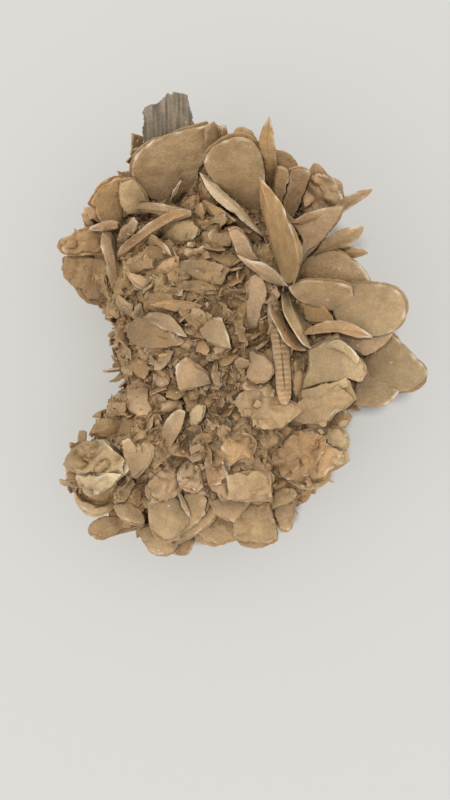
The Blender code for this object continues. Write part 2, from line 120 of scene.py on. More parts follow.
# The outlines of the main crystals as the photograph shows them: each is the few corners that it needs, as pixels
# of the photograph (x, y). Its sides are rounded into a curve, and a corner that is given twice stays sharp. A
# crystal's row names its outline; a place in its plane is where the camera's ray through the pixel meets that plane.
OUTLINES = {
    "tall_leaf": [
        (132, 176), (131, 165), (139, 150), (156, 137), (182, 130), (208, 123), (208, 123), (212, 146), (202, 165),
        (197, 185), (180, 201), (155, 202), (135, 190),
    ],
    "behind_leaf": [(205, 126), (214, 121), (219, 125), (227, 127), (229, 141), (216, 158), (204, 152)],
    "behind_fan": [(219, 127), (226, 125), (229, 135), (233, 147), (222, 144)],
    "behind_round": [(231, 137), (235, 129), (243, 127), (251, 130), (257, 139), (254, 152), (235, 152)],
    "block": [
        (142, 112), (148, 104), (158, 104), (164, 98), (168, 92), (180, 91), (187, 94), (187, 94), (189, 105),
        (193, 118), (198, 134), (190, 148), (170, 152), (146, 150), (143, 130),
    ],
    "west_round": [
        (134, 180), (122, 176), (112, 178), (103, 184), (95, 193), (89, 204), (96, 209), (97, 220), (108, 226),
        (121, 221), (124, 205), (130, 192),
    ],
    "west_step": [(120, 183), (133, 179), (142, 190), (150, 202), (150, 213), (139, 214), (126, 216), (119, 203)],
    "west_tongue": [
        (119, 223), (118, 240), (108, 251), (85, 254), (66, 255), (57, 247), (60, 238), (70, 235), (78, 229),
        (90, 226), (104, 221),
    ],
    "west_root": [
        (58, 264), (63, 255), (80, 254), (102, 256), (114, 272), (113, 290), (98, 305), (88, 303), (79, 295),
        (71, 286), (64, 279),
    ],
    "west_lip": [(98, 223), (108, 219), (119, 222), (120, 229), (107, 231), (92, 232), (87, 228)],
    "west_horn": [(81, 211), (87, 211), (89, 219), (94, 223), (99, 229), (87, 228), (83, 220)],
    "west_fin": [
        (103, 231), (111, 231), (117, 245), (119, 262), (117, 280), (113, 291), (109, 276), (106, 262), (101, 247),
    ],
    "west_blade": [
        (117, 255), (119, 247), (131, 236), (150, 223), (165, 213), (180, 207), (191, 210), (191, 215), (180, 220),
        (166, 224), (152, 236), (138, 248), (124, 257),
    ],
    "west_cross": [(144, 231), (152, 232), (163, 242), (173, 256), (173, 256), (163, 254), (152, 244)],
    "west_long": [
        (131, 206), (148, 201), (163, 204), (180, 207), (192, 211), (191, 217), (178, 219), (158, 215), (134, 212),
    ],
    "west_shell": [(165, 223), (182, 218), (193, 221), (199, 229), (196, 238), (186, 243), (172, 242), (158, 237)],
    "west_leaf": [(129, 223), (134, 215), (139, 223), (134, 234), (127, 241), (120, 238), (121, 228)],
    "leaf_tip": [(181, 179), (183, 190), (179, 199), (169, 200), (174, 190)],
    "round_leaf": [
        (203, 163), (206, 152), (220, 141), (240, 135), (254, 141), (263, 156), (266, 180), (260, 214), (240, 206),
        (222, 191), (208, 175),
    ],
    "north_spear": [
        (269, 117), (269, 117), (263, 126), (257, 143), (262, 156), (265, 175), (272, 194), (277, 170), (276, 145),
        (273, 127),
    ],
    "edge_band": [
        (199, 172), (199, 172), (208, 177), (220, 187), (234, 200), (247, 213), (257, 226), (264, 237), (264, 237),
        (253, 230), (241, 220), (227, 209), (214, 199), (205, 187),
    ],
    "edge_face": [
        (201, 178), (207, 189), (215, 199), (229, 210), (243, 222), (256, 232), (263, 240), (252, 241), (236, 232),
        (222, 222), (209, 209), (202, 195),
    ],
    "long_blade": [
        (261, 176), (270, 188), (281, 205), (290, 224), (298, 241), (301, 262), (292, 286), (282, 278), (274, 256),
        (267, 230), (261, 204),
    ],
    "pale_edge": [(286, 222), (293, 225), (300, 240), (303, 258), (299, 270), (292, 286), (291, 262), (288, 241)],
    "north_fill": [(262, 150), (285, 150), (300, 165), (312, 200), (300, 215), (270, 215), (262, 190)],
    "north_small": [(278, 165), (288, 169), (290, 178), (286, 191), (281, 205), (273, 193), (276, 178)],
    "north_pink": [
        (289, 170), (300, 167), (311, 171), (309, 184), (303, 197), (298, 210), (290, 222), (281, 205), (287, 188),
    ],
    "north_wide": [
        (308, 174), (315, 164), (321, 167), (328, 177), (338, 181), (342, 186), (343, 198), (348, 208), (330, 213),
        (308, 222), (298, 214), (303, 198), (309, 184),
    ],
    "east_spine": [
        (373, 188), (373, 188), (370, 194), (359, 202), (347, 210), (334, 220), (318, 236), (303, 249), (296, 246),
        (304, 232), (320, 216), (334, 208), (340, 199), (353, 191),
    ],
    "triangle": [
        (291, 223), (301, 215), (318, 209), (343, 205), (343, 205), (341, 216), (330, 231), (318, 244), (305, 256),
        (300, 266), (298, 250), (302, 239), (297, 230),
    ],
    "triangle_ridge": [
        (290, 223), (290, 223), (302, 214), (320, 208), (344, 205), (344, 205), (332, 214), (316, 221), (301, 226),
    ],
    "upper_thorn": [
        (364, 226), (363, 233), (356, 241), (344, 248), (326, 250), (309, 260), (317, 247), (332, 233), (347, 227),
    ],
    "lower_thorn": [(369, 253), (357, 258), (345, 260), (330, 257), (320, 252), (334, 247), (352, 244), (361, 247)],
    "east_leaf": [
        (301, 277), (302, 263), (312, 254), (328, 249), (343, 252), (354, 260), (364, 269), (371, 282), (358, 287),
        (338, 287), (322, 281),
    ],
    "olive_leaf": [
        (288, 285), (300, 280), (318, 279), (336, 281), (352, 285), (354, 300), (340, 309), (320, 308), (303, 303),
        (293, 295),
    ],
    "honey_patch": [(301, 299), (313, 299), (323, 303), (335, 319), (329, 323), (312, 323), (304, 317)],
    "big_plate": [
        (337, 285), (352, 283), (368, 283), (383, 284), (396, 288), (404, 297), (407, 309), (403, 322), (394, 332),
        (378, 337), (354, 335), (336, 324), (332, 306), (341, 296),
    ],
    "under_plate": [
        (338, 334), (354, 333), (374, 336), (394, 331), (390, 341), (376, 352), (364, 358), (351, 348), (342, 341),
    ],
    "far_leaf": [
        (391, 332), (402, 342), (413, 355), (424, 365), (429, 373), (421, 386), (409, 392), (397, 393), (382, 388),
        (371, 376), (364, 360), (374, 348), (384, 341),
    ],
    "far_fold": [
        (364, 363), (376, 371), (387, 386), (401, 391), (394, 399), (385, 407), (367, 408), (355, 405), (355, 385),
        (361, 371),
    ],
    "shelf": [
        (303, 334), (308, 327), (334, 318), (346, 321), (362, 328), (373, 337), (373, 337), (358, 338), (340, 332),
        (320, 333),
    ],
    "split_blade": [
        (284, 286), (291, 296), (298, 312), (305, 327), (306, 336), (311, 349), (303, 346), (295, 337), (289, 325),
        (283, 310), (280, 296),
    ],
    "split_twin": [
        (270, 296), (278, 300), (285, 315), (292, 330), (301, 343), (305, 352), (296, 351), (284, 343), (275, 326),
        (268, 309),
    ],
    "column": [
        (267, 299), (272, 293), (279, 301), (285, 321), (289, 345), (291, 378), (292, 396), (287, 406), (280, 404),
        (276, 391), (274, 368), (271, 343), (267, 319),
    ],
    "east_hood": [
        (309, 350), (324, 342), (338, 334), (338, 334), (342, 344), (352, 351), (361, 360), (366, 367), (366, 377),
        (360, 383), (349, 379), (334, 381), (318, 385), (303, 390), (304, 379), (311, 368),
    ],
    "ledge": [(301, 390), (320, 385), (338, 379), (347, 377), (349, 388), (331, 394), (311, 399), (300, 399)],
    "east_slab": [
        (298, 399), (312, 392), (332, 386), (346, 381), (350, 391), (354, 399), (354, 399), (346, 407), (334, 412),
        (328, 423), (316, 425), (300, 422), (288, 424), (294, 412),
    ],
    "east_knob": [(331, 416), (345, 409), (353, 416), (350, 423), (345, 429), (338, 431), (329, 427)],
    "fan_plate": [
        (232, 402), (239, 394), (247, 384), (262, 382), (275, 388), (283, 400), (296, 404), (301, 413), (290, 422),
        (281, 430), (262, 431), (249, 429), (241, 416),
    ],
    "square_leaf": [
        (174, 366), (174, 366), (179, 362), (185, 357), (197, 365), (210, 375), (211, 384), (211, 384), (196, 387),
        (179, 391), (179, 391), (175, 379),
    ],
    "lit_leaf": [(143, 317), (155, 311), (168, 314), (179, 324), (189, 336), (189, 336), (175, 334), (159, 327)],
    "brown_leaf": [
        (126, 339), (129, 322), (144, 316), (159, 325), (175, 332), (188, 341), (172, 350), (151, 349), (137, 345),
    ],
    "middle_leaf": [(199, 330), (208, 319), (222, 317), (227, 330), (232, 349), (232, 349), (216, 346), (205, 339)],
    "upright_slab": [
        (246, 284), (252, 275), (259, 273), (267, 281), (267, 300), (263, 316), (257, 331), (247, 333), (245, 311),
        (249, 296),
    ],
    "north_leaf": [(228, 231), (237, 228), (247, 236), (252, 249), (260, 259), (249, 263), (240, 257), (233, 246)],
    "bright_leaf": [
        (236, 254), (236, 254), (249, 259), (262, 262), (273, 268), (283, 278), (289, 287), (276, 285), (265, 281),
        (255, 272), (245, 264),
    ],
    "arrow": [
        (187, 411), (184, 423), (178, 436), (171, 448), (171, 448), (162, 437), (164, 424), (171, 413), (180, 408),
    ],
    "dusty_scale": [(127, 270), (133, 261), (145, 257), (155, 259), (156, 268), (143, 271), (134, 276)],
    "honey_tray": [
        (178, 260), (198, 258), (214, 261), (230, 266), (226, 274), (219, 283), (205, 280), (192, 276), (180, 270),
    ],
    "grey_tray": [(176, 282), (194, 280), (212, 282), (219, 290), (206, 294), (190, 292), (175, 291)],
    "column_foot": [
        (249, 352), (258, 350), (266, 357), (274, 367), (272, 377), (262, 383), (250, 381), (246, 374), (249, 364),
    ],
    "west_pad": [(127, 390), (139, 384), (151, 388), (153, 401), (150, 413), (141, 419), (129, 414)],
    "twig": [(189, 413), (195, 404), (204, 405), (203, 419), (196, 426), (189, 425)],
    "tiny_shelf": [(204, 222), (216, 215), (225, 212), (233, 220), (228, 224), (217, 222), (210, 226)],
    "rosette": [
        (269, 460), (272, 451), (282, 445), (286, 436), (300, 431), (317, 429), (331, 431), (329, 440), (337, 448),
        (345, 451), (346, 461), (337, 467), (328, 471), (325, 479), (317, 487), (304, 485), (291, 479), (279, 479),
        (271, 470),
    ],
    "rosette_lobe": [(329, 428), (338, 426), (346, 431), (349, 439), (346, 449), (336, 450), (327, 442)],
    "rosette_lip": [(318, 453), (334, 447), (346, 452), (347, 462), (336, 467), (321, 465)],
    "rosette_foot": [(289, 470), (309, 464), (326, 471), (329, 480), (318, 488), (307, 490), (293, 485)],
    "south_slab": [
        (216, 453), (231, 437), (248, 437), (257, 450), (257, 459), (267, 470), (269, 481), (271, 499), (271, 499),
        (246, 501), (221, 500), (213, 480),
    ],
    "south_tongue": [(209, 499), (230, 497), (250, 502), (242, 513), (234, 523), (223, 520), (214, 513)],
    "south_plate": [
        (237, 503), (252, 501), (271, 502), (273, 514), (277, 527), (277, 539), (270, 543), (258, 547), (246, 545),
        (235, 540), (232, 526), (234, 513),
    ],
    "south_fang": [(270, 509), (282, 503), (294, 498), (294, 512), (292, 527), (288, 531), (281, 530), (275, 521)],
    "south_gusset": [(270, 491), (281, 488), (293, 487), (297, 494), (293, 501), (282, 506), (270, 510)],
    "south_step": [(196, 522), (206, 515), (220, 509), (236, 512), (238, 538), (226, 542), (214, 546), (198, 540)],
    "south_cap": [
        (207, 447), (219, 440), (231, 433), (244, 430), (254, 436), (257, 446), (250, 457), (238, 463), (226, 459),
        (211, 459),
    ],
    "petal_top": [
        (150, 480), (159, 468), (171, 458), (184, 456), (193, 465), (191, 480), (179, 495), (165, 505), (149, 501),
        (145, 490),
    ],
    "petal_heart": [(179, 470), (191, 459), (204, 461), (207, 475), (205, 489), (196, 494), (185, 491), (178, 482)],
    "petal_wide": [(147, 501), (164, 492), (180, 494), (191, 510), (189, 526), (175, 539), (159, 541), (149, 529)],
    "petal_arc": [
        (185, 491), (198, 493), (211, 499), (211, 499), (209, 509), (202, 520), (189, 530), (171, 539), (176, 520),
    ],
    "petal_arc_low": [
        (199, 512), (210, 506), (219, 509), (219, 509), (213, 521), (202, 530), (189, 538), (176, 543), (180, 530),
    ],
    "petal_foot": [(138, 528), (152, 523), (166, 534), (177, 545), (170, 555), (160, 557), (149, 551), (142, 541)],
    "petal_drop": [(170, 545), (185, 539), (197, 535), (193, 548), (186, 559), (178, 561), (171, 553)],
    "petal_fin": [(176, 491), (183, 496), (188, 507), (190, 518), (183, 509)],
    "petal_side": [(113, 505), (127, 502), (141, 507), (146, 518), (143, 525), (131, 523), (119, 516)],
    "heart": [
        (120, 441), (129, 437), (136, 446), (144, 441), (152, 445), (152, 455), (148, 464), (142, 471), (133, 478),
        (128, 468), (122, 455),
    ],
    "corner_tongue": [
        (89, 522), (100, 516), (115, 515), (131, 521), (139, 528), (126, 531), (112, 535), (100, 540), (90, 536),
        (87, 529),
    ],
    "ball_foot": [(74, 490), (90, 491), (115, 487), (123, 500), (112, 509), (100, 516), (87, 514), (77, 503)],
    "ball_tuck": [(118, 482), (130, 477), (138, 481), (131, 491), (126, 501), (117, 501), (115, 490)],
    "south_west_rim": [(88, 434), (97, 419), (112, 417), (131, 420), (126, 433), (107, 438)],
    "pale_step": [
        (180, 251), (186, 247), (196, 249), (203, 245), (209, 246), (212, 250), (206, 253), (197, 255), (186, 257),
    ],
    "sill": [(200, 233), (214, 231), (229, 231), (233, 243), (228, 251), (212, 252), (203, 247)],
    "west_sheet": [(132, 352), (140, 349), (149, 351), (150, 366), (150, 380), (140, 378), (133, 370)],
    "west_button": [(152, 354), (158, 351), (163, 358), (162, 366), (156, 368), (152, 364)],
    "west_patch": [(157, 370), (165, 366), (171, 372), (170, 384), (162, 392), (156, 384)],
    "hollow_sheet": [(188, 391), (203, 387), (199, 400), (189, 402)],
    "long_sheet": [(158, 404), (172, 398), (184, 402), (178, 410), (165, 415), (157, 412)],
    "round_chip": [(193, 436), (205, 430), (214, 433), (212, 444), (200, 450), (192, 446)],
    "pebble": [(223, 422), (232, 421), (234, 430), (229, 435), (223, 431)],
    "under_fan": [(255, 431), (279, 430), (280, 438), (277, 446), (262, 448), (257, 439)],
    "twin_leaf": [(294, 368), (299, 361), (305, 360), (305, 372), (300, 384), (302, 395), (296, 398), (292, 385)],
    "hood_lip": [(328, 342), (338, 338), (352, 347), (361, 359), (358, 364), (349, 357), (338, 350), (329, 347)],
    "slab_west": [
        (204, 460), (209, 449), (215, 453), (222, 443), (227, 455), (224, 466), (230, 476), (222, 480), (223, 492),
        (212, 491), (206, 478),
    ],
    "slab_face": [(226, 476), (244, 470), (262, 470), (270, 480), (271, 501), (248, 500), (228, 498)],
    "slab_north": [
        (220, 448), (226, 437), (234, 439), (240, 431), (249, 436), (256, 445), (250, 449), (252, 459), (240, 457),
        (232, 464), (225, 457),
    ],
    "ball_top": [
        (66, 464), (72, 452), (84, 444), (97, 440), (110, 441), (116, 450), (128, 462), (130, 470), (120, 478),
        (100, 480), (84, 476), (72, 472),
    ],
    "ball_white": [
        (76, 469), (92, 474), (110, 473), (122, 476), (112, 486), (101, 493), (90, 497), (82, 489), (77, 479),
    ],
    "tray_west": [(156, 267), (167, 258), (180, 256), (179, 268), (171, 279), (157, 283), (150, 276)],
    "scale_foot": [(127, 271), (142, 276), (158, 284), (150, 291), (134, 285)],
    "middle_lens": [(148, 304), (165, 300), (188, 302), (201, 306), (186, 313), (166, 311)],
    "middle_tooth": [(176, 311), (192, 307), (206, 322), (201, 331), (188, 327)],
    "north_tray": [(202, 252), (220, 249), (238, 255), (247, 264), (232, 269), (213, 261)],
    "under_edge": [(204, 199), (220, 207), (238, 220), (228, 225), (211, 216)],
    "square_neighbour": [(210, 373), (215, 361), (220, 372), (219, 386), (213, 386)],
}

# Each crystal: its root, its tip, its width, its thickness, the way its broad face looks, its outline, its
# colour and its look.
NORTH_WEST = [
    ((-30, 58, 42), (-35, 89, 76), 39, 5, (0.12, -0.75, 0.65), "tall_leaf", "tan", "clean"),
    ((-14, 68, 48), (-14, 89, 80), 12, 3, (0.3, -0.8, 0.5), "behind_leaf", "pink", "clean"),
    ((-8, 70, 48), (-8, 86, 78), 7, 3, (0.1, -0.8, 0.5), "behind_fan", "pink", "clean"),
    ((-1, 64, 52), (-1, 85, 82), 11, 3, (0.0, -0.8, 0.6), "behind_round", "tan", "clean"),
    ((-35.5, 78, 50), (-35.5, 104, 60), 25, 12, (0.0, -0.25, 0.97), "block", "grey", "block"),
    ((-54, 48, 46), (-66, 68, 69), 27, 4.5, (0.4, -0.5, 0.75), "west_round", "honey", "clean"),
    ((-44, 52, 54), (-54, 66, 66), 12, 3, (0.5, -0.5, 0.7), "west_step", "tan", "clean"),
    ((-58, 38, 48), (-88, 38, 58), 21, 6, (0.15, -0.35, 0.92), "west_tongue", "orange", "rough"),
    ((-54, 22, 34), (-88, 31, 46), 19, 8, (0.35, -0.2, 0.92), "west_root", "dust", "worn"),
    ((-56, 40, 56), (-72, 47, 64), 12, 3.5, (0.1, -0.3, 0.95), "west_lip", "orange", "rough"),
    ((-68, 44, 50), (-77, 54, 58), 6, 2.5, (0.2, -0.5, 0.85), "west_horn", "orange", "rough"),
    ((-61, 15, 50), (-66, 47, 61), 20, 3.5, (0.75, 0.15, 0.6), "west_fin", "pink", "ridged"),
    ((-58, 31, 58), (-26, 53, 70), 18, 4.5, (0.4, -0.68, 0.62), "west_blade", "orange", "ridged"),
    ((-47, 44, 64), (-33, 33, 64), 10, 3, (-0.5, -0.55, 0.66), "west_cross", "orange", "ridged"),
    ((-50, 56, 60), (-24, 53, 69), 9, 3, (0.0, -0.5, 0.87), "west_long", "tan", "ridged"),
    ((-30, 46, 62), (-20, 45, 69), 12, 3, (0.0, -0.2, 0.97), "west_shell", "tan", "clean"),
    ((-55, 40, 58), (-53, 52, 63), 9, 3, (0.1, -0.2, 0.97), "west_leaf", "pink", "clean"),
    ((-30, 59, 50), (-28, 70, 66), 7, 3, (0.6, -0.6, 0.5), "leaf_tip", "pale", "ridged"),
]

NORTH = [
    ((0, 50, 54), (-4, 78, 96), 29, 4, (0.0, -0.82, 0.56), "round_leaf", "tan", "smooth"),
    ((9, 57, 54), (10, 82, 106), 11, 3.5, (-0.15, -0.9, 0.4), "north_spear", "honey", "ridged"),
    ((11, 43, 73), (-20, 69, 76), 18, 4.5, (0.15, 0.1, 0.98), "edge_band", "cream", "ridged"),
    ((9, 41, 66), (-22, 67, 69), 18, 3, (-0.5, -0.5, 0.7), "edge_face", "brown", "clean"),
    ((18, 10, 76), (7, 61, 79), 72, 5, (-0.96, -0.22, 0.18), "long_blade", "honey", "ridged"),
    ((22, 13, 80), (18, 43, 95), 22, 3.5, (0.8, -0.1, 0.6), "pale_edge", "pale", "ridged"),
    ((16, 42, 44), (26, 62, 56), 22, 3, (0.0, -0.5, 0.85), "north_fill", "dust", "worn"),
    ((15, 48, 60), (16, 67, 84), 7, 3, (0.0, -0.75, 0.65), "north_small", "tan", "clean"),
    ((20, 46, 58), (24, 68, 82), 13, 3, (0.0, -0.75, 0.65), "north_pink", "pink", "clean"),
    ((22, 42, 52), (36, 67, 77), 26, 3.5, (-0.3, -0.55, 0.78), "north_wide", "pink", "jagged"),
    ((25, 37, 62), (56, 58, 87), 9, 3, (-0.1, -0.6, 0.8), "east_spine", "pink", "ridged"),
    ((23, 15, 66), (38, 49, 91), 24, 3.5, (-0.15, -0.6, 0.78), "triangle", "pink", "clean"),
    ((19, 42, 86), (45, 50, 90), 9, 3.5, (0.0, -0.75, 0.65), "triangle_ridge", "orange", "ridged"),
]

EAST = [
    ((30, 24, 62), (51, 40, 91), 13, 3.5, (-0.2, -0.6, 0.75), "upper_thorn", "tan", "ridged"),
    ((34, 26, 58), (56, 31, 79), 12, 3, (-0.3, -0.5, 0.85), "lower_thorn", "tan", "ridged"),
    ((23, 16, 62), (57, 21, 76), 21, 3.5, (0.1, -0.3, 0.94), "east_leaf", "tan", "smooth"),
    ((31, 0, 66), (32, 18, 82), 27, 3, (-0.1, -0.6, 0.8), "olive_leaf", "tan", "smooth"),
    ((27, 0, 66), (37, 9, 76), 12, 3, (-0.3, -0.4, 0.85), "honey_patch", "honey", "clean"),
    ((34, 6, 70), (71, 7, 89), 26, 4.5, (-0.42, -0.1, 0.9), "big_plate", "buff", "smooth"),
    ((38, -4, 66), (65, -8, 78), 15, 3, (-0.25, -0.2, 0.94), "under_plate", "pink", "clean"),
    ((48, -14, 60), (81, -23, 84), 25, 4, (-0.4, -0.2, 0.9), "far_leaf", "buff", "smooth"),
    ((42, -22, 58), (65, -35, 73), 20, 3.5, (-0.3, 0.1, 0.95), "far_fold", "drab", "smooth"),
    ((25, -2, 76), (57, -6, 84), 8, 3, (-0.1, -0.5, 0.85), "shelf", "orange", "ridged"),
    ((17, 15, 72), (29, -11, 76), 26, 3.5, (0.8, 0.36, 0.45), "split_blade", "pale", "ridged"),
    ((12, 12, 72), (26, -12, 74), 20, 6, (0.75, 0.45, 0.45), "split_twin", "orange", "ridged"),
    ((14, 12, 74), (17, -38, 71), 32, 7, (0.1, -0.1, 0.98), "column", "pink", "cross"),
    ((27, -11, 66), (53, -20, 78), 19, 3.5, (-0.2, -0.15, 0.97), "east_hood", "pale", "clean"),
    ((25, -28, 70), (46, -23, 80), 9, 3, (-0.1, -0.4, 0.9), "ledge", "pale", "clean"),
    ((22, -36, 64), (49, -33, 78), 22, 3.5, (-0.2, -0.2, 0.96), "east_slab", "tan", "layered"),
    ((36, -42, 56), (50, -43, 63), 13, 3, (-0.2, 0.0, 0.97), "east_knob", "tan", "clean"),
    ((46, -35, 50), (58, -40, 57), 7, 2.5, (-0.2, 0.0, 0.97), "spear", "tan", "clean"),
    ((52, 4, 48), (63, 12, 58), 15, 3.5, (-0.5, 0.2, 0.8), "petal", "tan", "clean"),
]

MIDDLE = [
    ((8, -24, 68), (6, -52, 68), 23, 12, (0.05, -0.1, 0.99), "fan_plate", "tan", "jagged"),
    ((-10, -24, 70), (-32, -22, 78), 15, 3.5, (0.0, -0.1, 0.99), "square_leaf", "pink", "clean"),
    ((-46, 3, 72), (-25, -5, 78), 8, 3, (-0.2, -0.6, 0.75), "lit_leaf", "pink", "ridged"),
    ((-52, 0, 64), (-29, -8, 71), 18, 3.5, (-0.25, -0.3, 0.92), "brown_leaf", "dust", "worn"),
    ((-22, 1, 74), (-7, -9, 79), 11, 3, (-0.1, -0.1, 0.98), "middle_leaf", "tan", "clean"),
    ((4, -2, 70), (5, 21, 78), 11, 3.5, (-0.3, -0.1, 0.95), "upright_slab", "pink", "worn"),
    ((9, 27, 72), (-6, 42, 79), 15, 3, (-0.3, -0.4, 0.87), "north_leaf", "pink", "clean"),
    ((20, 17, 82), (-2, 30, 84), 9, 3, (-0.3, -0.6, 0.75), "bright_leaf", "pink", "ridged"),
    ((-34, -57, 60), (-27, -39, 69), 10, 3, (-0.3, 0.1, 0.95), "arrow", "pink", "ridged"),
    ((-52, 26, 64), (-33, 28, 75), 13, 3.5, (-0.2, -0.2, 0.96), "dusty_scale", "dust", "worn"),
    ((-31, 32, 72), (-7, 25, 78), 12, 3, (0.0, -0.2, 0.98), "honey_tray", "dust", "rough"),
    ((-33, 15, 72), (-12, 17, 77), 13, 3.5, (0.0, -0.15, 0.98), "grey_tray", "dust", "rough"),
    ((0, -12, 72), (14, -19, 77), 13, 3.5, (0.0, -0.2, 0.98), "column_foot", "pink", "clean"),
    ((-48, -24, 50), (-40, -45, 63), 17, 4, (-0.3, 0.1, 0.95), "west_pad", "pink", "worn"),
    ((-22, -44, 66), (-12, -32, 73), 11, 3, (-0.3, -0.2, 0.93), "twig", "pale", "clean"),
    ((-22, 46, 64), (-8, 50, 74), 12, 3, (-0.2, -0.4, 0.9), "tiny_shelf", "dust", "rough"),
    ((-46, 12, 66), (-30, 8, 74), 11, 3, (-0.2, -0.4, 0.9), "petal", "dust", "worn"),
]

SOUTH_EAST = [
    ((12, -60, 60), (45, -57, 71), 34, 6, (-0.2, 0.05, 0.97), "rosette", "orange", "crumpled"),
    ((26, -46, 66), (48, -50, 73), 15, 3.5, (-0.2, -0.1, 0.97), "rosette_lobe", "pale", "crumpled"),
    ((28, -59, 66), (48, -65, 74), 15, 3.5, (-0.2, 0.1, 0.97), "rosette_lip", "pale", "crumpled"),
    ((24, -60, 62), (36, -77, 69), 17, 3.5, (-0.1, 0.2, 0.97), "rosette_foot", "tan", "crumpled"),
    ((24, -52, 54), (46, -66, 58), 30, 3.5, (-0.25, 0.2, 0.94), "disc", "tan", "jagged"),
    ((-1, -58, 62), (0, -82, 67), 27, 3.5, (0.0, -0.1, 0.99), "south_slab", "pink", "jagged"),
    ((-5, -70, 56), (-5, -93, 61), 16, 3.5, (0.0, -0.1, 0.99), "south_tongue", "pink", "layered"),
    ((6, -76, 46), (6, -105, 56), 21, 12, (0.05, -0.15, 0.98), "south_plate", "tan", "worn"),
    ((16, -74, 38), (21, -100, 43), 11, 3.5, (0.2, -0.1, 0.97), "south_fang", "tan", "layered"),
    ((12, -78, 48), (25, -84, 52), 13, 3, (0.1, -0.1, 0.98), "south_gusset", "tan", "layered"),
    ((-8, -82, 40), (-10, -105, 47), 17, 6, (0.0, -0.1, 0.99), "south_step", "tan", "worn"),
    ((-14, -54, 62), (-2, -64, 67), 18, 4.5, (-0.1, -0.1, 0.98), "south_cap", "pink", "crumpled"),
]

SOUTH_WEST = [
    ((-28, -63, 50), (-44, -86, 56), 25, 6, (-0.1, -0.05, 0.99), "petal_top", "pink", "crumpled"),
    ((-25, -64, 56), (-26, -81, 60), 17, 3.5, (0.1, -0.15, 0.98), "petal_heart", "pink", "crumpled"),
    ((-29, -78, 52), (-37, -102, 57), 24, 3.5, (0.0, -0.15, 0.98), "petal_wide", "tan", "layered"),
    ((-31, -82, 52), (-16, -92, 55), 24, 3, (0.0, -0.1, 0.99), "petal_arc", "tan", "layered"),
    ((-32, -86, 47), (-13, -97, 49), 24, 3, (0.05, -0.1, 0.99), "petal_arc_low", "tan", "layered"),
    ((-40, -88, 40), (-43, -110, 46), 22, 3.5, (-0.1, -0.1, 0.98), "petal_foot", "tan", "layered"),
    ((-30, -80, 34), (-29, -113, 41), 13, 4.5, (0.0, -0.1, 0.99), "petal_drop", "dust", "layered"),
    ((-31, -79, 58), (-26, -91, 59), 9, 2.5, (0.85, 0.3, 0.4), "petal_fin", "pale", "ridged"),
    ((-46, -82, 40), (-57, -95, 46), 15, 3.5, (-0.1, -0.1, 0.98), "petal_side", "tan", "layered"),
    ((-53, -72, 58), (-51, -53, 63), 16, 3, (0.1, -0.1, 0.98), "heart", "tan", "rough"),
    ((-54, -92, 30), (-77, -100, 37), 16, 3.5, (-0.1, -0.1, 0.98), "corner_tongue", "brown", "worn"),
    ((-48, -92, 26), (-54, -107, 33), 9, 3, (0.0, -0.1, 0.98), "spear", "dust", "worn"),
    ((-62, -68, 32), (-73, -91, 42), 25, 3.5, (-0.1, -0.2, 0.97), "ball_foot", "pale", "layered"),
    ((-58, -70, 46), (-58, -86, 50), 12, 3, (0.5, -0.1, 0.85), "ball_tuck", "tan", "layered"),
    ((-60, -52, 44), (-72, -46, 50), 14, 3.5, (-0.3, 0.2, 0.93), "south_west_rim", "dust", "worn"),
]

# Thin broken sheets that lie on the body: outline, how far over the body its middle is, the way its broad face
# looks, its colour and its look.
SHEETS = [
    ("pale_step", 1.3, (0.0, -0.2, 1.0), "pale", "rough"),
    ("sill", 0.3, (-0.1, -0.2, 1.0), "dust", "worn"),
    ("west_sheet", 0.8, (-0.4, 0.1, 0.9), "dust", "worn"),
    ("west_button", 0.3, (0.2, -0.3, 0.9), "tan", "clean"),
    ("west_patch", 0.3, (-0.3, 0.2, 0.9), "pink", "worn"),
    ("hollow_sheet", 0.3, (0.2, 0.3, 0.9), "brown", "worn"),
    ("long_sheet", 0.3, (0.1, -0.4, 0.9), "tan", "worn"),
    ("round_chip", 0.3, (-0.2, -0.4, 0.9), "dust", "worn"),
    ("pebble", 0.8, (0.0, -0.1, 1.0), "stone", "worn"),
    ("under_fan", 0.3, (0.0, 0.2, 1.0), "brown", "worn"),
    ("twin_leaf", 1.8, (0.3, 0.1, 0.9), "orange", "clean"),
    ("hood_lip", 1.2, (-0.5, -0.3, 0.9), "pale", "ridged"),
    ("slab_west", 0.2, (-0.35, 0.1, 0.9), "orange", "crumpled"),
    ("slab_face", 0.3, (0.15, -0.2, 1.0), "tan", "clean"),
    ("slab_north", 0.2, (0.1, 0.35, 0.9), "honey", "crumpled"),
    ("ball_top", 0.4, (-0.15, 0.15, 1.0), "pale", "crumpled"),
    ("ball_white", 0.6, (-0.15, -0.35, 0.9), "cream", "jagged"),
    ("tray_west", 0.8, (-0.2, -0.3, 0.9), "orange", "worn"),
    ("scale_foot", 1.3, (0.3, 0.1, 0.9), "pink", "worn"),
    ("middle_lens", 2.8, (0.1, -0.4, 0.9), "orange", "worn"),
    ("middle_tooth", 1.3, (0.3, 0.3, 0.9), "dust", "worn"),
    ("north_tray", 2.3, (0.1, 0.3, 0.9), "dust", "clean"),
    ("under_edge", 2.8, (-0.3, -0.4, 0.8), "honey", "clean"),
    ("square_neighbour", 3.3, (0.5, 0.1, 0.8), "tan", "clean"),
]

# The crystals by the piece that they belong to.
DRAWN = {
    "crystals_north_west": NORTH_WEST,
    "crystals_north": NORTH,
    "crystals_east": EAST,
    "crystals_middle": MIDDLE,
    "crystals_south_east": SOUTH_EAST,
    "crystals_south_west": SOUTH_WEST,
}

# The small ball of curved crystals at the south-west corner: layers laid round a centre.
BALL_CENTRE = (-69, -71, 44)
BALL_RADIUS = 17.5
BALL_PLATES = 13

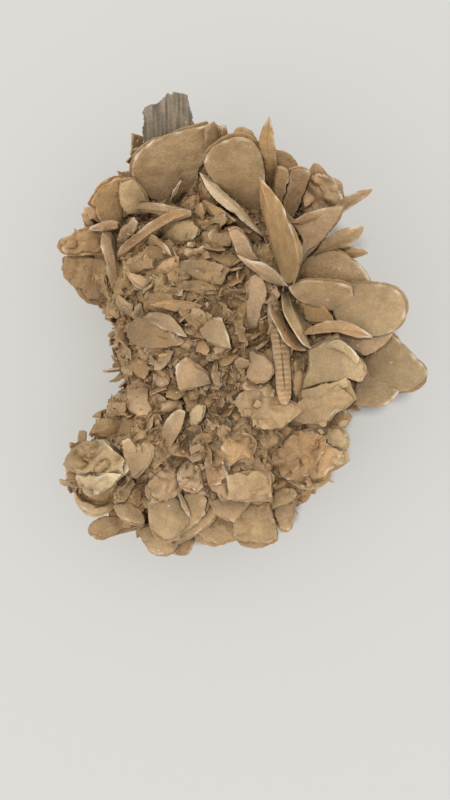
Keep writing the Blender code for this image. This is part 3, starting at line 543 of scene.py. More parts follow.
# Where the top is worn to a rubble of small crystals: centre, half axes and how many.
WORN_AREAS = [
    ((-20, 14), (30, 32), 16),
    ((-22, -34), (34, 22), 12),
    ((-58, 0), (12, 24), 4),
]

# Round the sides of each lump, in the order of LUMPS: how many crystals are tried, and how far they stand out.
FLANKS = [
    (20, 5.5),
    (12, 5.5),
    (0, 0),
    (12, 1.0),
    (18, 5.5),
    (12, 4.0),
    (0, 0),
    (14, 6.0),
    (10, 1.0),
    (10, 4.5),
    (0, 0),
    (10, 0.5),
    (8, 3.0),
]
FLANK_BAND = (-0.8, 0.15)
FLANK_FLOOR = 3.0

# Spacing of the points of the drawn crystals, of those with fine stripes, of the strewn ones and of the small ones.
STEP, FINE_STEP, STREWN_STEP, SMALL_STEP = 1.0, 0.6, 1.3, 1.35
BREAK_DEPTH, PLAIN_BREAK_DEPTH = 0.12, 0.14  # how deep straight breaks go, as shares of a crystal
CORNER_CUT, ROUND_CUT = 0.02, 0.23  # how much of a side is cut off at a sharp corner, and how much more at a flat one
GROWTH_STEP = 2.6  # how far apart a crystal's growth steps are
STRIPE_DEPTH = 0.35
BODY_VOXEL = 1.0
LUMP_WAVES = 3.0  # how high the waves on a lump are
GROUND = 0.4  # the lowest height of the body's points
COARSE_FACETS, FINE_FACETS = 9.0, 4.5  # sizes of the broken pieces that the body's surface is made of
CELL = 2  # pixels of the photograph to a cell
NO_COVER = -1000.0  # the height of a cell that no crystal covers
CLEAR, MOST_OVER = 0.3, 0.12  # a strewn crystal hides another where it is higher by this; the share of it that may
SUNK, MOST_SUNK = 0.8, 7  # how far the body stays under a drawn crystal, and how far it is pushed down at most
LAYER_SCALE, LAYER_RINGS = 1.05, 4  # a layer's outline against its crystal's, and its rings of points
BALL_SUNK = 2.5
SHEET_SIZE, SHEET_THICKNESS = 12, 2.5
MIDDLE_HEIGHT, RIM_HEIGHT = 60.0, 30.0  # a first guess of a sheet's height, and the ground's past the lumps' rims
INSET = 0.05  # how far the visual model stays inside the solid's box
SHARP_ANGLE = math.radians(24)
FLOOR_HALF = 40.0  # half the side of the floor, in metres
FLOOR_COLOUR, SKY_COLOUR, SKY_STRENGTH = (0.58, 0.58, 0.57, 1), (1.0, 1.0, 0.99, 1), 0.72


# Numbers, noise and colours


def linear(name):
    """A named colour as the linear numbers that a shader takes."""
    share = np.array(COLOURS[name]) / 255
    return np.where(share < 0.04045, share / 12.92, ((share + 0.055) / 1.055) ** 2.4)


def blended(tones, colour, share):
    """Colours brought toward another one by a share at each point."""
    return tones + (colour - tones) * share[:, None]


def smooth(low, high, value):
    """0 below low, 1 above high, and a soft step between."""
    share = np.clip((value - low) / (high - low), 0, 1)
    return share * share * (3 - 2 * share)


def hashed(cells, salt=0):
    """A whole number under HASH_STEPS for each cell of space: it looks random and is the same every time."""
    mixed = cells[:, 0] * 73856093 ^ cells[:, 1] * 19349663 ^ cells[:, 2] * 83492791 ^ salt * 2654435
    mixed = (mixed ^ (mixed >> 13)) * 1274126177 & 0x7FFFFFFF
    return (mixed ^ (mixed >> 16)) % HASH_STEPS


def rough(points, size, seed=0):
    """Smooth noise from -1 to 1 at points, with lumps of a size."""
    scaled = points / size + seed * 17.31
    cell = np.floor(scaled).astype(np.int64)
    part = scaled - cell
    part = part * part * (3 - 2 * part)
    total = np.zeros(len(points))
    for corner in range(8):
        offset = np.array([corner & 1, corner >> 1 & 1, corner >> 2 & 1])
        value = hashed(cell + offset) / (HASH_STEPS // 2) - 1
        total += value * np.prod(np.where(offset, part, 1 - part), axis=1)
    return total


def facets(points, size, seed):
    """Broken flat pieces: each point's height on its piece's tilted plane, in mm, and the piece's number, 0 to 1."""
    scaled = points / size
    base = np.floor(scaled).astype(np.int64)
    best = np.full(len(points), 9.0)
    height = np.zeros(len(points))
    own = np.zeros(len(points))
    for n in range(27):
        cell = base + np.array([n % 3 - 1, n // 3 % 3 - 1, n // 9 - 1])
        values = [hashed(cell, axis + 7 * seed) / HASH_STEPS for axis in range(6)]
        away = scaled - cell - np.stack(values[:3], axis=1)
        far = np.linalg.norm(away, axis=1)
        slope = (np.stack(values[3:], axis=1) - 0.5) * 2
        nearer = far < best
        best = np.where(nearer, far, best)
        height = np.where(nearer, (away * slope).sum(axis=1) * size, height)
        own = np.where(nearer, values[3], own)
    return height, own


def unit(way):
    """A direction made one long."""
    way = np.array(way, float)
    return way / np.linalg.norm(way)


def on_sphere(turn, height):
    """The direction at an angle round from +X and a height from -1 to 1."""
    level = math.sqrt(1 - height**2)
    return math.cos(turn) * level, math.sin(turn) * level, height


def level_way(turn):
    """The level direction at an angle from +X."""
    return Vector((math.cos(turn), math.sin(turn), 0))


def axes(root, tip, face):
    """A crystal's ends, its length and its directions: along it, out of its broad face and across it."""
    root, tip, face = (np.array(given, float) for given in (root, tip, face))
    length = np.linalg.norm(tip - root)
    along = (tip - root) / length
    out = unit(face - along * (face @ along))
    return root, tip, length, along, out, np.cross(out, along)


# Outlines: how far along a crystal and how far across it each rim point is, from its middle


def half_width(shape, t):
    """Half width of a plain shape, as a share of its widest, at t of its length from root to tip."""
    if shape == "disc":
        return np.sqrt(np.maximum(0, 1 - (2 * t - 1) ** 2))
    if shape == "spear":
        return np.sin(np.pi * np.minimum(1, t + 0.12) ** 0.7) ** 0.8
    near = np.sqrt(np.maximum(0, 1 - (1.45 * t - 0.78) ** 2))
    far = np.sqrt(np.maximum(0, 1 - (np.maximum(0, t - 0.54) / 0.46) ** 2.6))
    return np.where(t < 0.54, near, far)


def spaced(ends, step):
    """Points evenly spaced round a closed line through ends, the same way round for every crystal."""
    turned = ends[:, 0] * np.roll(ends[:, 1], -1) - ends[:, 1] * np.roll(ends[:, 0], -1)
    if turned.sum() < 0:
        ends = ends[::-1]
    ends = np.concatenate([ends, ends[:1]])
    run = np.concatenate([[0], np.cumsum(np.hypot(*np.diff(ends, axis=0).T))])
    at = np.linspace(0, run[-1], max(10, int(run[-1] / step)), endpoint=False)
    return np.interp(at, run, ends[:, 0]), np.interp(at, run, ends[:, 1])


def rim_of(shape, length, width, step):
    """The outline of a plain shape: a disc, a spear or a petal."""
    t = (1 - np.cos(np.linspace(0, np.pi, 200))) / 2
    side = np.nan_to_num(half_width(shape, t)) * width / 2
    along = (t - 0.5) * length
    ends = [np.concatenate([along, along[::-1]]), np.concatenate([-side, side[::-1]])]
    return spaced(np.stack(ends, axis=1), step)


def shard(rng, length, width, step):
    """The outline of a broken piece, with a few straight sides."""
    count = int(rng.integers(5, 8))
    turn = (np.arange(count) + rng.uniform(-0.3, 0.3, count)) * 2 * np.pi / count
    reach = rng.uniform(0.72, 1.08, count)
    ends = np.stack([reach * np.cos(turn) * length / 2, reach * np.sin(turn) * width / 2], axis=1)
    return spaced(ends, step)


def drawn(name, middle, along, across, out, step):
    """A named outline laid in the plane through middle, and how far its own middle is from there."""
    pixels = np.array(OUTLINES[name], float)
    rays = np.empty((len(pixels), 3))
    rays[:, 0] = (pixels[:, 0] - FRAME_WIDTH / 2) * MM_PER_PIXEL
    rays[:, 1] = (FRAME_HEIGHT / 2 - pixels[:, 1]) * MM_PER_PIXEL
    rays[:, 2] = -EYE[2]
    run = (middle - EYE) @ out / (rays @ out)
    places = np.array(EYE) + rays * run[:, None] - middle
    ends = np.stack([places @ along, places @ across], axis=1)
    for _ in range(2):
        before, after = np.roll(ends, 1, axis=0) - ends, np.roll(ends, -1, axis=0) - ends
        long = np.linalg.norm(before, axis=1) * np.linalg.norm(after, axis=1) + 1e-9
        straight = -(before * after).sum(axis=1) / long
        cut = (CORNER_CUT + ROUND_CUT * smooth(0.35, 0.7, straight))[:, None]
        ends = np.stack([ends + before * cut, ends + after * cut], axis=1).reshape(-1, 2)
    rim_a, rim_s = spaced(ends, step)
    off = ((rim_a.max() + rim_a.min()) / 2, (rim_s.max() + rim_s.min()) / 2)
    return rim_a - off[0], rim_s - off[1], off


def broken(rng, rim_a, rim_s, cuts, depth):
    """The outline with some straight breaks across its edge, each up to a share of the crystal deep."""
    for _ in range(cuts):
        turn = rng.uniform(0, 2 * np.pi)
        ahead = rim_a * math.cos(turn) + rim_s * math.sin(turn)
        limit = ahead.max() * (1 - depth * rng.uniform(0.3, 1.0))
        share = np.where(ahead > limit, limit / np.maximum(ahead, 1e-6), 1)
        rim_a, rim_s = rim_a * share, rim_s * share
    return rim_a, rim_s


def chips(rng, count, size):
    """How deep the rim is chipped at each of its points, in mm: a few bites and a fine jitter."""
    depth = np.abs(rng.normal(0, 0.22 * size, count))
    place = np.arange(count)
    for _ in range(max(2, count // 12)):
        middle = rng.uniform(0, count)
        reach = rng.uniform(1.5, 5)
        away = np.abs((place - middle + count / 2) % count - count / 2)
        depth += size * rng.uniform(0.1, 1) ** 2 * smooth(reach, reach * 0.4, away)
    return depth


# One crystal


def midline(rim_a, rim_s, reach):
    """For each rim point, the place on the crystal's midline that it is joined to; the midline runs along it."""
    at = np.linspace(-reach, reach, 15)
    near = [np.abs(rim_a - place) < 2.5 for place in at]
    middle = [(rim_s[n].max() + rim_s[n].min()) / 2 if n.any() else 0.0 for n in near]
    target = np.clip(rim_a, -reach, reach)
    return target, np.interp(target, at, middle)


def filled(rng, rim_a, rim_s, length, width, chip, rings):
    """A face's points in rings from the chipped rim to the midline: along, across and how far in from the rim."""
    core_a, core_s = midline(rim_a, rim_s, 0.45 * max(0.01, length - 1.2 * width))
    away_a, away_s = rim_a - core_a, rim_s - core_s
    reach = np.hypot(away_a, away_s) + 1e-6
    turn_a = np.roll(rim_a, -1) - np.roll(rim_a, 1)
    turn_s = np.roll(rim_s, -1) - np.roll(rim_s, 1)
    facing = np.abs(away_a * turn_s - away_s * turn_a) / (np.hypot(turn_a, turn_s) + 1e-9)
    bitten = np.minimum(chips(rng, len(rim_a), chip), reach * 0.4)
    a, s, inside = [], [], []
    for share in (np.arange(rings) / (rings - 0.5)) ** 1.15:
        scale = (1 - share) * (1 - bitten / reach * (1 - share) ** 3)
        a.append(core_a + away_a * scale)
        s.append(core_s + away_s * scale)
        inside.append(share * facing)
    a.append(core_a.mean(keepdims=True))
    s.append(core_s.mean(keepdims=True))
    inside.append(np.array([min(width, length) / 2]))
    return np.concatenate(a), np.concatenate(s), np.concatenate(inside)


def blade(row, number, step=STEP):
    """One crystal as points, triangles and a colour for each point."""
    root, tip, width, thickness, face, shape, colour, look = row
    wear = LOOKS[look]
    is_layer = shape in OUTLINES and look == "scale"
    rng = np.random.default_rng(SHAPE_SEED + number)
    step = FINE_STEP if look in ("block", "cross") else step
    thickness = min(thickness, wear.most)
    if look != "block":
        thickness = min(thickness, 0.5 + 0.2 * width)
    root, tip, length, along, out, across = axes(root, tip, face)
    middle = (root + tip) / 2
    if shape in OUTLINES:
        rim_a, rim_s, off = drawn(shape, middle, along, across, out, step)
        middle = middle + along * off[0] + across * off[1]
        if wear.crease > CREASED:
            rim_a, rim_s = broken(rng, rim_a, rim_s, wear.cuts, BREAK_DEPTH)
        if is_layer:
            rim_a, rim_s = rim_a * LAYER_SCALE, rim_s * LAYER_SCALE
            middle = middle + along * rng.uniform(-1, 1) + across * rng.uniform(-1, 1)
        length, width = np.ptp(rim_a), np.ptp(rim_s)
    elif shape == "shard":
        rim_a, rim_s = shard(rng, length, width, step)
    else:
        rim_a, rim_s = rim_of(shape, length, width, step)
        rim_a, rim_s = broken(rng, rim_a, rim_s, wear.cuts, PLAIN_BREAK_DEPTH)
    narrow = min(width, length)
    rings = max(3, int(narrow / 2 / step) + 1)
    rings = min(rings, LAYER_RINGS) if is_layer else rings
    a, s, inside = filled(rng, rim_a, rim_s, length, width, wear.chip, rings)
    wave, _ = rng.uniform(0, 6, 2)
    curl = wear.bend * rng.uniform(-1, 1)
    flat = np.stack([a, s, np.full(len(a), number * 3.7)], axis=1)

    # Half the thickness: from the rim inward it swells, in growth steps and stripes.
    fullness = np.clip(inside / min(0.46 * narrow, wear.bevel), 0, 1)
    swell = fullness if look == "ridged" else 1 - (1 - fullness) ** 2
    edge = wear.blunt * thickness / 2
    half = edge + (thickness / 2 - edge) * swell
    steps = inside / GROWTH_STEP + 0.7 * rough(flat, 7, 3)
    half += wear.terrace * (steps - np.floor(steps) - 0.5) * np.exp(-inside / 9) * smooth(0, 1, inside)
    if look == "cross":
        stripes = np.sin(a * 2.6 + rough(flat, 5, 5))
        half += STRIPE_DEPTH * stripes * smooth(0, 2, inside)
    if look == "block":
        stripes = rough(flat * (0.12, 1, 1), 1.0, 7)
        half += STRIPE_DEPTH * stripes * smooth(0, 1.5, inside)

    # How far the crystal leans out of its plane: a bowl, a wavy rim, soft waves and creases.
    lean = curl * ((2 * a / length) ** 2 + (2 * s / width) ** 2 - 0.6)
    lean += 0.25 * wear.bend * np.sin(np.arctan2(s, a) * 3 + wave) * (1 - fullness) ** 2
    lean += 0.3 * wear.bend * rough(flat, 9, 11)
    lean += wear.crease * (2.4 * np.abs(rough(flat, 9, 3)) + 1.3 * np.abs(rough(flat, 4, 4)) - 0.8)

    sides = []
    for sign in (1, -1):
        place = middle + np.outer(a, along) + np.outer(s, across) + np.outer(lean + sign * half, out)
        relief = wear.grain * (rough(place, 2.2, 13) + 0.6 * rough(place, 1.1, 14)) * smooth(-0.5, 2.0, inside)
        sides.append(place + np.outer(sign * relief, out))
    points = np.concatenate(sides)
    # Share from root to tip, for the painted shade that darkens each crystal toward its root.
    rooted = np.tile(smooth(-0.55, 0.35, a / length), 2)
    tones = blade_colour(points, np.tile(inside, 2), rooted, colour, wear.pale_share, rng)
    if look == "cross":
        tones *= 1 + 0.16 * np.tile(stripes, 2)[:, None]
    if look == "block":
        tones *= 1.02 + 0.4 * np.tile(stripes + 0.4 * rough(flat, 6, 8), 2)[:, None]
    return points, blade_faces(len(rim_a), rings), tones


def round_again(count):
    """The numbers of a ring's points, and of the point after each."""
    i = np.arange(count)
    return i, (i + 1) % count


def strip(count, offset):
    """Triangles between a ring of points and the same ring offset points later."""
    i, j = round_again(count)
    return np.concatenate([np.stack([i, offset + i, offset + j], axis=1), np.stack([i, offset + j, j], axis=1)])


def blade_faces(count, rings):
    """Triangles of both faces of a crystal and of the strip along its rim."""
    i, j = round_again(count)
    found = []
    for ring in range(rings - 1):
        low, high = ring * count, (ring + 1) * count
        found.append(np.stack([low + i, low + j, high + j], axis=1))
        found.append(np.stack([low + i, high + j, high + i], axis=1))
    last = (rings - 1) * count
    found.append(np.stack([last + i, last + j, np.full(count, rings * count)], axis=1))
    front = np.concatenate(found)
    offset = rings * count + 1
    return np.concatenate([front, front[:, ::-1] + offset, strip(count, offset)])


def blade_colour(points, inside, rooted, colour, pale_share, rng):
    """The colour of each point: the crystal's own, darker toward its root as painted shade, patches of honey and
    dust, and a pale broken rim that is partly a painted highlight.
    """
    base = linear(colour) * (1 + rng.normal(0, 0.05))
    # Painted shade: the crystal is darker toward its root and lighter toward its tip.
    tones = base * (0.66 + 0.42 * rooted)[:, None]
    most = 0.35 if colour != "grey" else 0.05
    tones = blended(tones, linear("honey"), smooth(-0.1, 0.7, rough(points, 14, 21)) * most)
    dust = smooth(0.0, 0.6, rough(points, 6, 22) + 0.4 * rough(points, 2.5, 23)) * most
    tones = blended(tones, linear("dust") * 0.9, dust)
    # The pale broken rim: partly the paler gypsum of broken edges, partly a painted highlight; it fades toward the
    # root.
    pale = smooth(-0.2, 0.5, rough(points, 3.5, 24) + 2 * pale_share - 0.9)
    rim = smooth(1.4, 0.2, inside) * pale
    return blended(tones, linear("white"), rim * (0.2 + 0.4 * rooted))


def company(row, number):
    """The rows of what grows with a crystal: thinner layers under it and small crystals standing on it."""
    root, tip, width, thickness, face, shape, colour, look = row
    wear = LOOKS[look]
    loose = 1.0 if wear.crease > CREASED else 0.35
    rng = np.random.default_rng(COMPANY_SEED + number)
    root, tip, length, along, out, across = axes(root, tip, face)
    found = []
    for i in range(wear.layers):
        down = -out * (thickness * 0.35 + (i + 0.3) * rng.uniform(1.1, 1.7))
        turn = across * rng.uniform(-0.12, 0.12) * length * loose
        ahead = along * rng.uniform(-1.0, 1.2)
        tilted = out + loose * (across * rng.uniform(-0.25, 0.25) + along * rng.uniform(-0.2, 0.2))
        layer = (root + down, tip + down + turn + ahead, width * rng.uniform(0.85, 1.0), 1.6, tilted)
        found.append((*layer, shape, colour, "scale"))
    for _ in range(wear.buds):
        t = rng.uniform(0.15, 0.85)
        s = rng.uniform(-0.25, 0.25) * width
        place = root + along * (t * length) + across * s
        turn = rng.uniform(0, 2 * np.pi)
        lying = along * math.cos(turn) + across * math.sin(turn)
        ahead = unit(lying + out * rng.uniform(0.2, 0.7))
        size = rng.uniform(7, 11) * min(1.2, max(0.6, width / 24))
        start = place - ahead * size * 0.33
        broad = out - lying * rng.uniform(0.2, 0.7) + np.cross(ahead, out) * rng.uniform(-0.3, 0.3)
        bud = (start, start + ahead * size, size * rng.uniform(0.7, 1.0), rng.uniform(1.0, 1.6), broad)
        found.append((*bud, "shard", colour, "bud"))
    return found


def grown(rows, first, step=STEP, cover=None):
    """Rows as one part, and the rows of what grows with them; cover leaves out crystals that hide a drawn one."""
    made, smaller = [], []
    for number, row in enumerate(rows, first):
        crystal = blade(row, number, step)
        if cover is None or uncovered(crystal, cover):
            made.append(crystal)
            smaller += company(row, number)
    return joined(made), smaller


# Which cells of the photograph the drawn crystals cover, and how high


def cells_of(points):
    """The cells of the photograph that points fall in, as columns and rows."""
    scale = MM_PER_PIXEL * (1 - points[:, 2] / EYE[2]) * CELL
    column = FRAME_WIDTH / 2 / CELL + (points[:, 0] - EYE[0]) / scale
    row = FRAME_HEIGHT / 2 / CELL - (points[:, 1] - EYE[1]) / scale
    return (
        np.clip(column, 0, FRAME_WIDTH // CELL - 1).astype(np.int64),
        np.clip(row, 0, FRAME_HEIGHT // CELL - 1).astype(np.int64),
    )


def cover_of(points):
    """Height of the drawn crystals in each cell of the photograph, far below the base where there is none."""
    cover = np.full((FRAME_WIDTH // CELL, FRAME_HEIGHT // CELL), NO_COVER)
    np.maximum.at(cover, cells_of(points), points[:, 2])
    wide = cover
    for axis in (0, 1):
        wide = np.maximum(wide, np.maximum(np.roll(wide, 1, axis), np.roll(wide, -1, axis)))
    return np.where(cover < 0, wide, cover)


def uncovered(part, cover):
    """Whether a strewn crystal leaves the drawn ones in sight."""
    height = cover[cells_of(part[0])]
    return np.mean((height > 0) & (part[0][:, 2] > height + CLEAR)) < MOST_OVER


# Rows of sheets and of strewn crystals


def lump_height(x, y):
    """Height of the top of the body at a place, or None past its edge."""
    heights = []
    for (cx, cy, cz), (rx, ry, rz) in LUMPS:
        left = 1 - ((x - cx) / rx) ** 2 - ((y - cy) / ry) ** 2
        if left > 0.05:
            heights.append(cz + rz * math.sqrt(left))
    return max(heights) if heights else None


def in_lump(place, centre, radii, share):
    """Whether a place is inside a lump drawn to a share of its size."""
    return sum(((p - c) / (r * share)) ** 2 for p, c, r in zip(place, centre, radii)) < 1


def from_sheet(name, lift, face, colour, look, cover):
    """A sheet as a crystal's row: its middle is where the camera sees its outline's middle, at its height."""
    x, y = np.mean(OUTLINES[name], axis=0)
    height = MIDDLE_HEIGHT
    for _ in range(6):
        scale = MM_PER_PIXEL * (1 - height / EYE[2])
        place = (EYE[0] + (x - FRAME_WIDTH / 2) * scale, EYE[1] + (FRAME_HEIGHT / 2 - y) * scale)
        ground = max(lump_height(*place) or RIM_HEIGHT, cover[int(x / CELL), int(y / CELL)])
        height = ground + lift
    out = unit(face)
    along = unit(np.cross(np.cross(out, (0, 0, 1)), out))
    middle = np.array((*place, height))
    half = along * SHEET_SIZE / 2
    return (middle - half, middle + half, SHEET_SIZE, SHEET_THICKNESS, tuple(out), name, colour, look)


def ball(rng):
    """Curved layers laid round the small ball."""
    found = []
    for i in range(BALL_PLATES):
        out = Vector(on_sphere(i * GOLDEN_ANGLE + rng.uniform(-0.2, 0.2), 0.95 - 1.25 * i / BALL_PLATES))
        along = out.cross(Vector((0.3, 0.2, 0.9))).normalized()
        middle = Vector(BALL_CENTRE) + out * (BALL_RADIUS - BALL_SUNK)
        half = along * rng.uniform(7.5, 9.5)
        width = rng.uniform(14, 18)
        found.append((middle - half, middle + half, width, 3, out + 0.25 * along, "disc", "pale", "layered"))
    return found


def rubble(rng):
    """Small tilted crystals strewn over the worn top of the body."""
    found = []
    for (cx, cy), (rx, ry), count in WORN_AREAS:
        for i in range(count):
            turn = i * GOLDEN_ANGLE
            reach = math.sqrt((i + 0.5) / count)
            x = cx + rx * reach * math.cos(turn)
            y = cy + ry * reach * math.sin(turn)
            heading = level_way(rng.uniform(0, math.tau))
            along = (heading + Vector((0, 0, rng.uniform(0.2, 0.9)))).normalized()
            face = Vector((0, 0, 1)) - 0.6 * heading + Vector(rng.uniform(-0.4, 0.4, 3))
            length = rng.uniform(9, 16)
            root = Vector((x, y, lump_height(x, y) - 1)) - along * length * 0.45
            row = (root, root + along * length, rng.uniform(6, 9.4), 2.0, face, "shard")
            found.append((*row, ("dust", "pink", "tan")[i % 3], ("worn", "rough")[i % 2]))
    return found


def flank(rng):
    """Crystals that stand out all round the sides of the lumps, down to the base."""
    found = []
    low, high = FLANK_BAND
    for number, ((centre, radii), (count, reach)) in enumerate(zip(LUMPS, FLANKS)):
        others = [other for other in LUMPS if other[0] != centre]
        for i in range(count):
            height = low + (high - low) * (i + 0.5) / count
            out = level_way(i * GOLDEN_ANGLE + number) * math.sqrt(1 - height**2) + Vector((0, 0, height))
            place = Vector(centre) + out * Vector(radii)
            away = Vector(o / r for o, r in zip(out, radii)).normalized()
            along = (away + Vector((0, 0, rng.uniform(-0.1, 0.5)))).normalized()
            tip = place + along * reach * rng.uniform(0.8, 1.2)
            if tip.z < FLANK_FLOOR or any(in_lump(tip, *other, 1.02) for other in others):
                continue
            root = tip - along * rng.uniform(17, 22)
            side = Vector((0, 0, 1)).cross(away).normalized()
            face = Vector((0, 0, 1)) + side * rng.uniform(-1.8, 1.8)
            row = (root, tip, rng.uniform(14, 22), rng.uniform(3, 4), face, "petal")
            found.append((*row, ("tan", "brown", "dust")[i % 3], ("clean", "worn")[i % 2]))
    return found


# The body


def body_parts():
    """The lumps as one closed surface: points in mm and triangles."""
    bm = bmesh.new()
    for centre, radii in LUMPS:
        made = bmesh.ops.create_icosphere(bm, subdivisions=4, radius=1.0)
        for vert in made["verts"]:
            place = Vector(centre) + vert.co * Vector(radii)
            place += vert.co * LUMP_WAVES * noise.noise(place * 0.06)
            place.z = max(place.z, GROUND)
            vert.co = place * MM
    mesh = bpy.data.meshes.new("lumps")
    bm.to_mesh(mesh)
    bm.free()
    obj = added("lumps", mesh)
    remesh = obj.modifiers.new("join", "REMESH")
    remesh.mode = "VOXEL"
    remesh.voxel_size = BODY_VOXEL * MM
    whole = obj.evaluated_get(bpy.context.evaluated_depsgraph_get()).to_mesh()
    whole.calc_loop_triangles()
    points = np.empty(len(whole.vertices) * 3)
    whole.vertices.foreach_get("co", points)
    faces = np.empty(len(whole.loop_triangles) * 3, np.int64)
    whole.loop_triangles.foreach_get("vertices", faces)
    bpy.data.objects.remove(obj, do_unlink=True)
    return points.reshape(-1, 3) / MM, faces.reshape(-1, 3)


def body(cover):
    """The mass of small broken crystals and sand between and under the big ones."""
    points, faces = body_parts()
    normals = normals_of(points, faces)
    coarse, own = facets(points, COARSE_FACETS, 1)
    fine, _ = facets(points, FINE_FACETS, 2)
    relief = np.clip(0.5 * coarse, -1.8, 1.8) + np.clip(0.45 * fine, -1.0, 1.0) + 0.25 * rough(points, 1.8, 31)
    relief *= smooth(1.0, 5.0, points[:, 2]) * (0.35 + 0.65 * smooth(-62, -42, points[:, 0]))
    points = points + normals * relief[:, None]
    over = points[:, 2] + SUNK - cover[cells_of(points)]
    points[:, 2] -= np.clip(over, 0, MOST_SUNK) * (over < 60) * smooth(0.25, 0.6, normals[:, 2])
    tones = blended(linear("dust"), linear("tan"), smooth(-0.2, 0.6, rough(points, 9, 33)))
    tones = blended(tones, linear("honey") * 0.9, smooth(0.0, 0.6, rough(points, 13, 34)) * 0.4)
    tones *= (0.92 + 0.16 * own)[:, None]
    # Painted shade: the body is darker where its broken pieces sink into the surface.
    return points, faces, blended(tones, linear("hollow_shade"), smooth(0.0, -1.8, relief) * 0.4)


# Plates and flakes over the body


def on_top(places, normals):
    """Likelier on the worn top."""
    return smooth(38, 60, places[:, 2]) * smooth(-0.1, 0.5, normals[:, 2])


def on_side(places, normals):
    """Likelier round the sides."""
    return smooth(62, 45, places[:, 2]) * smooth(0.7, 0.2, np.abs(normals[:, 2])) + 0.15


# The plates: how many are tried, where, from what size to what size in mm and from what tilt to what in radians,
# then the spacing of their points and their first number. The flakes: how many, where and their sizes.
SCALES = {
    "scales_top": (200, on_top, (7, 18), (0.05, 0.8), 1.2, 6000),
    "scales_side": (240, on_side, (8, 17), (0.3, 1.3), 1.3, 7000),
}
FLAKES = {
    "flakes_top": (3400, on_top, (2.0, 9.0)),
    "flakes_side": (2200, on_side, (3.0, 8.0)),
}


def picked(rng, points, faces, count, where):
    """Faces picked at random by their area and by how likely where calls them: the middle and normal of each."""
    normals = face_normals(points, faces)
    areas = np.linalg.norm(normals, axis=1)
    middles = points[faces].mean(axis=1)
    likely = areas * where(middles, normals / areas[:, None])
    chosen = rng.choice(len(faces), count, p=likely / likely.sum())
    return zip(middles[chosen], normals[chosen] / areas[chosen, None])


def over_base(middle, size):
    """Whether a piece of a size stays over what the cluster rests on."""
    return middle[2] >= size * 0.5 + 0.3


def scales(rng, points, faces, count, where, sizes, tilt):
    """Broken plates that lie on the body or stand out of it, as rows of crystals."""
    found = []
    for number, (middle, normal) in enumerate(picked(rng, points, faces, count, where)):
        size = sizes[0] + (sizes[1] - sizes[0]) * rng.uniform(0, 1) ** 1.5
        lying = unit(np.cross(normal, rng.normal(0, 1, 3)))
        lift = rng.uniform(*tilt)
        along = unit(lying * math.cos(lift) + normal * math.sin(lift))
        broad = unit(normal * math.cos(lift) - lying * math.sin(lift) + rng.normal(0, 0.25, 3))
        middle = middle + normal * size * 0.3 * math.sin(lift)
        if over_base(middle, size):
            row = (middle - along * size / 2, middle + along * size / 2, size * rng.uniform(0.5, 0.95))
            colour = STREWN_COLOURS[number % len(STREWN_COLOURS)]
            found.append((*row, rng.uniform(1.2, 2.0), broad, "shard", colour, "scale"))
    return found


def flake(rng, middle, normal, size, colour):
    """A small broken plate, partly sunk in what it lies on."""
    count = int(rng.integers(4, 7))
    turn = (np.arange(count) + rng.uniform(-0.35, 0.35, count)) * 2 * np.pi / count
    reach = size / 2 * rng.uniform(0.6, 1.15, count)
    squash = rng.uniform(0.35, 0.9)
    lean = rng.normal(0, 1, 3)
    out = unit(normal * rng.uniform(0.2, 1.4) + unit(lean) * rng.uniform(0.4, 1.2))
    along = unit(np.cross(out, rng.normal(0, 1, 3)))
    across = np.cross(out, along)
    outline = middle + np.outer(reach * np.cos(turn), along) + np.outer(reach * np.sin(turn) * squash, across)
    half = out * (0.12 + 0.015 * size)
    fold = out * rng.uniform(-0.1, 0.1) * size
    points = np.concatenate([outline + half, [middle + half + fold], outline - half, [middle - half + fold]])
    i, j = round_again(count)
    offset = count + 1
    top = np.stack([i, j, np.full(count, count)], axis=1)
    faces = np.concatenate([top, top[:, ::-1] + offset, strip(count, offset)])
    tones = np.tile(colour * (0.88 + rng.normal(0, 0.05)), (len(points), 1))
    tones[:count] += (linear("white") - tones[:count]) * rng.uniform(0.0, 0.18)
    return points, faces, tones


def flakes(rng, points, faces, count, where, sizes):
    """Flakes over the body, more of them where it is likely."""
    tones = [linear(name) for name in STREWN_COLOURS]
    found = []
    for number, (middle, normal) in enumerate(picked(rng, points, faces, count, where)):
        size = sizes[0] + (sizes[1] - sizes[0]) * rng.uniform(0, 1) ** 2
        middle = middle + normal * rng.uniform(-0.1, 0.3) * size
        if over_base(middle, size):
            found.append(flake(rng, middle, normal, size, tones[number % len(tones)]))
    return found


# Joining, light on the points and Blender's objects


def face_normals(points, faces):
    """The normal of each face, as long as twice its area."""
    corners = points[faces]
    return np.cross(corners[:, 1] - corners[:, 0], corners[:, 2] - corners[:, 0])


def normals_of(points, faces):
    """The normal at each point, from the faces round it."""
    normals = face_normals(points, faces)
    total = np.zeros_like(points)
    for corner in range(3):
        for axis in range(3):
            total[:, axis] += np.bincount(faces[:, corner], weights=normals[:, axis], minlength=len(points))
    return total / np.maximum(np.linalg.norm(total, axis=1), 1e-12)[:, None]


def joined(parts):
    """Several (points, triangles, colours) as one."""
    starts = np.cumsum([0] + [len(points) for points, _, _ in parts[:-1]])
    return (
        np.concatenate([points for points, _, _ in parts]),
        np.concatenate([faces + start for (_, faces, _), start in zip(parts, starts)]),
        np.concatenate([colours for _, _, colours in parts]),
    )


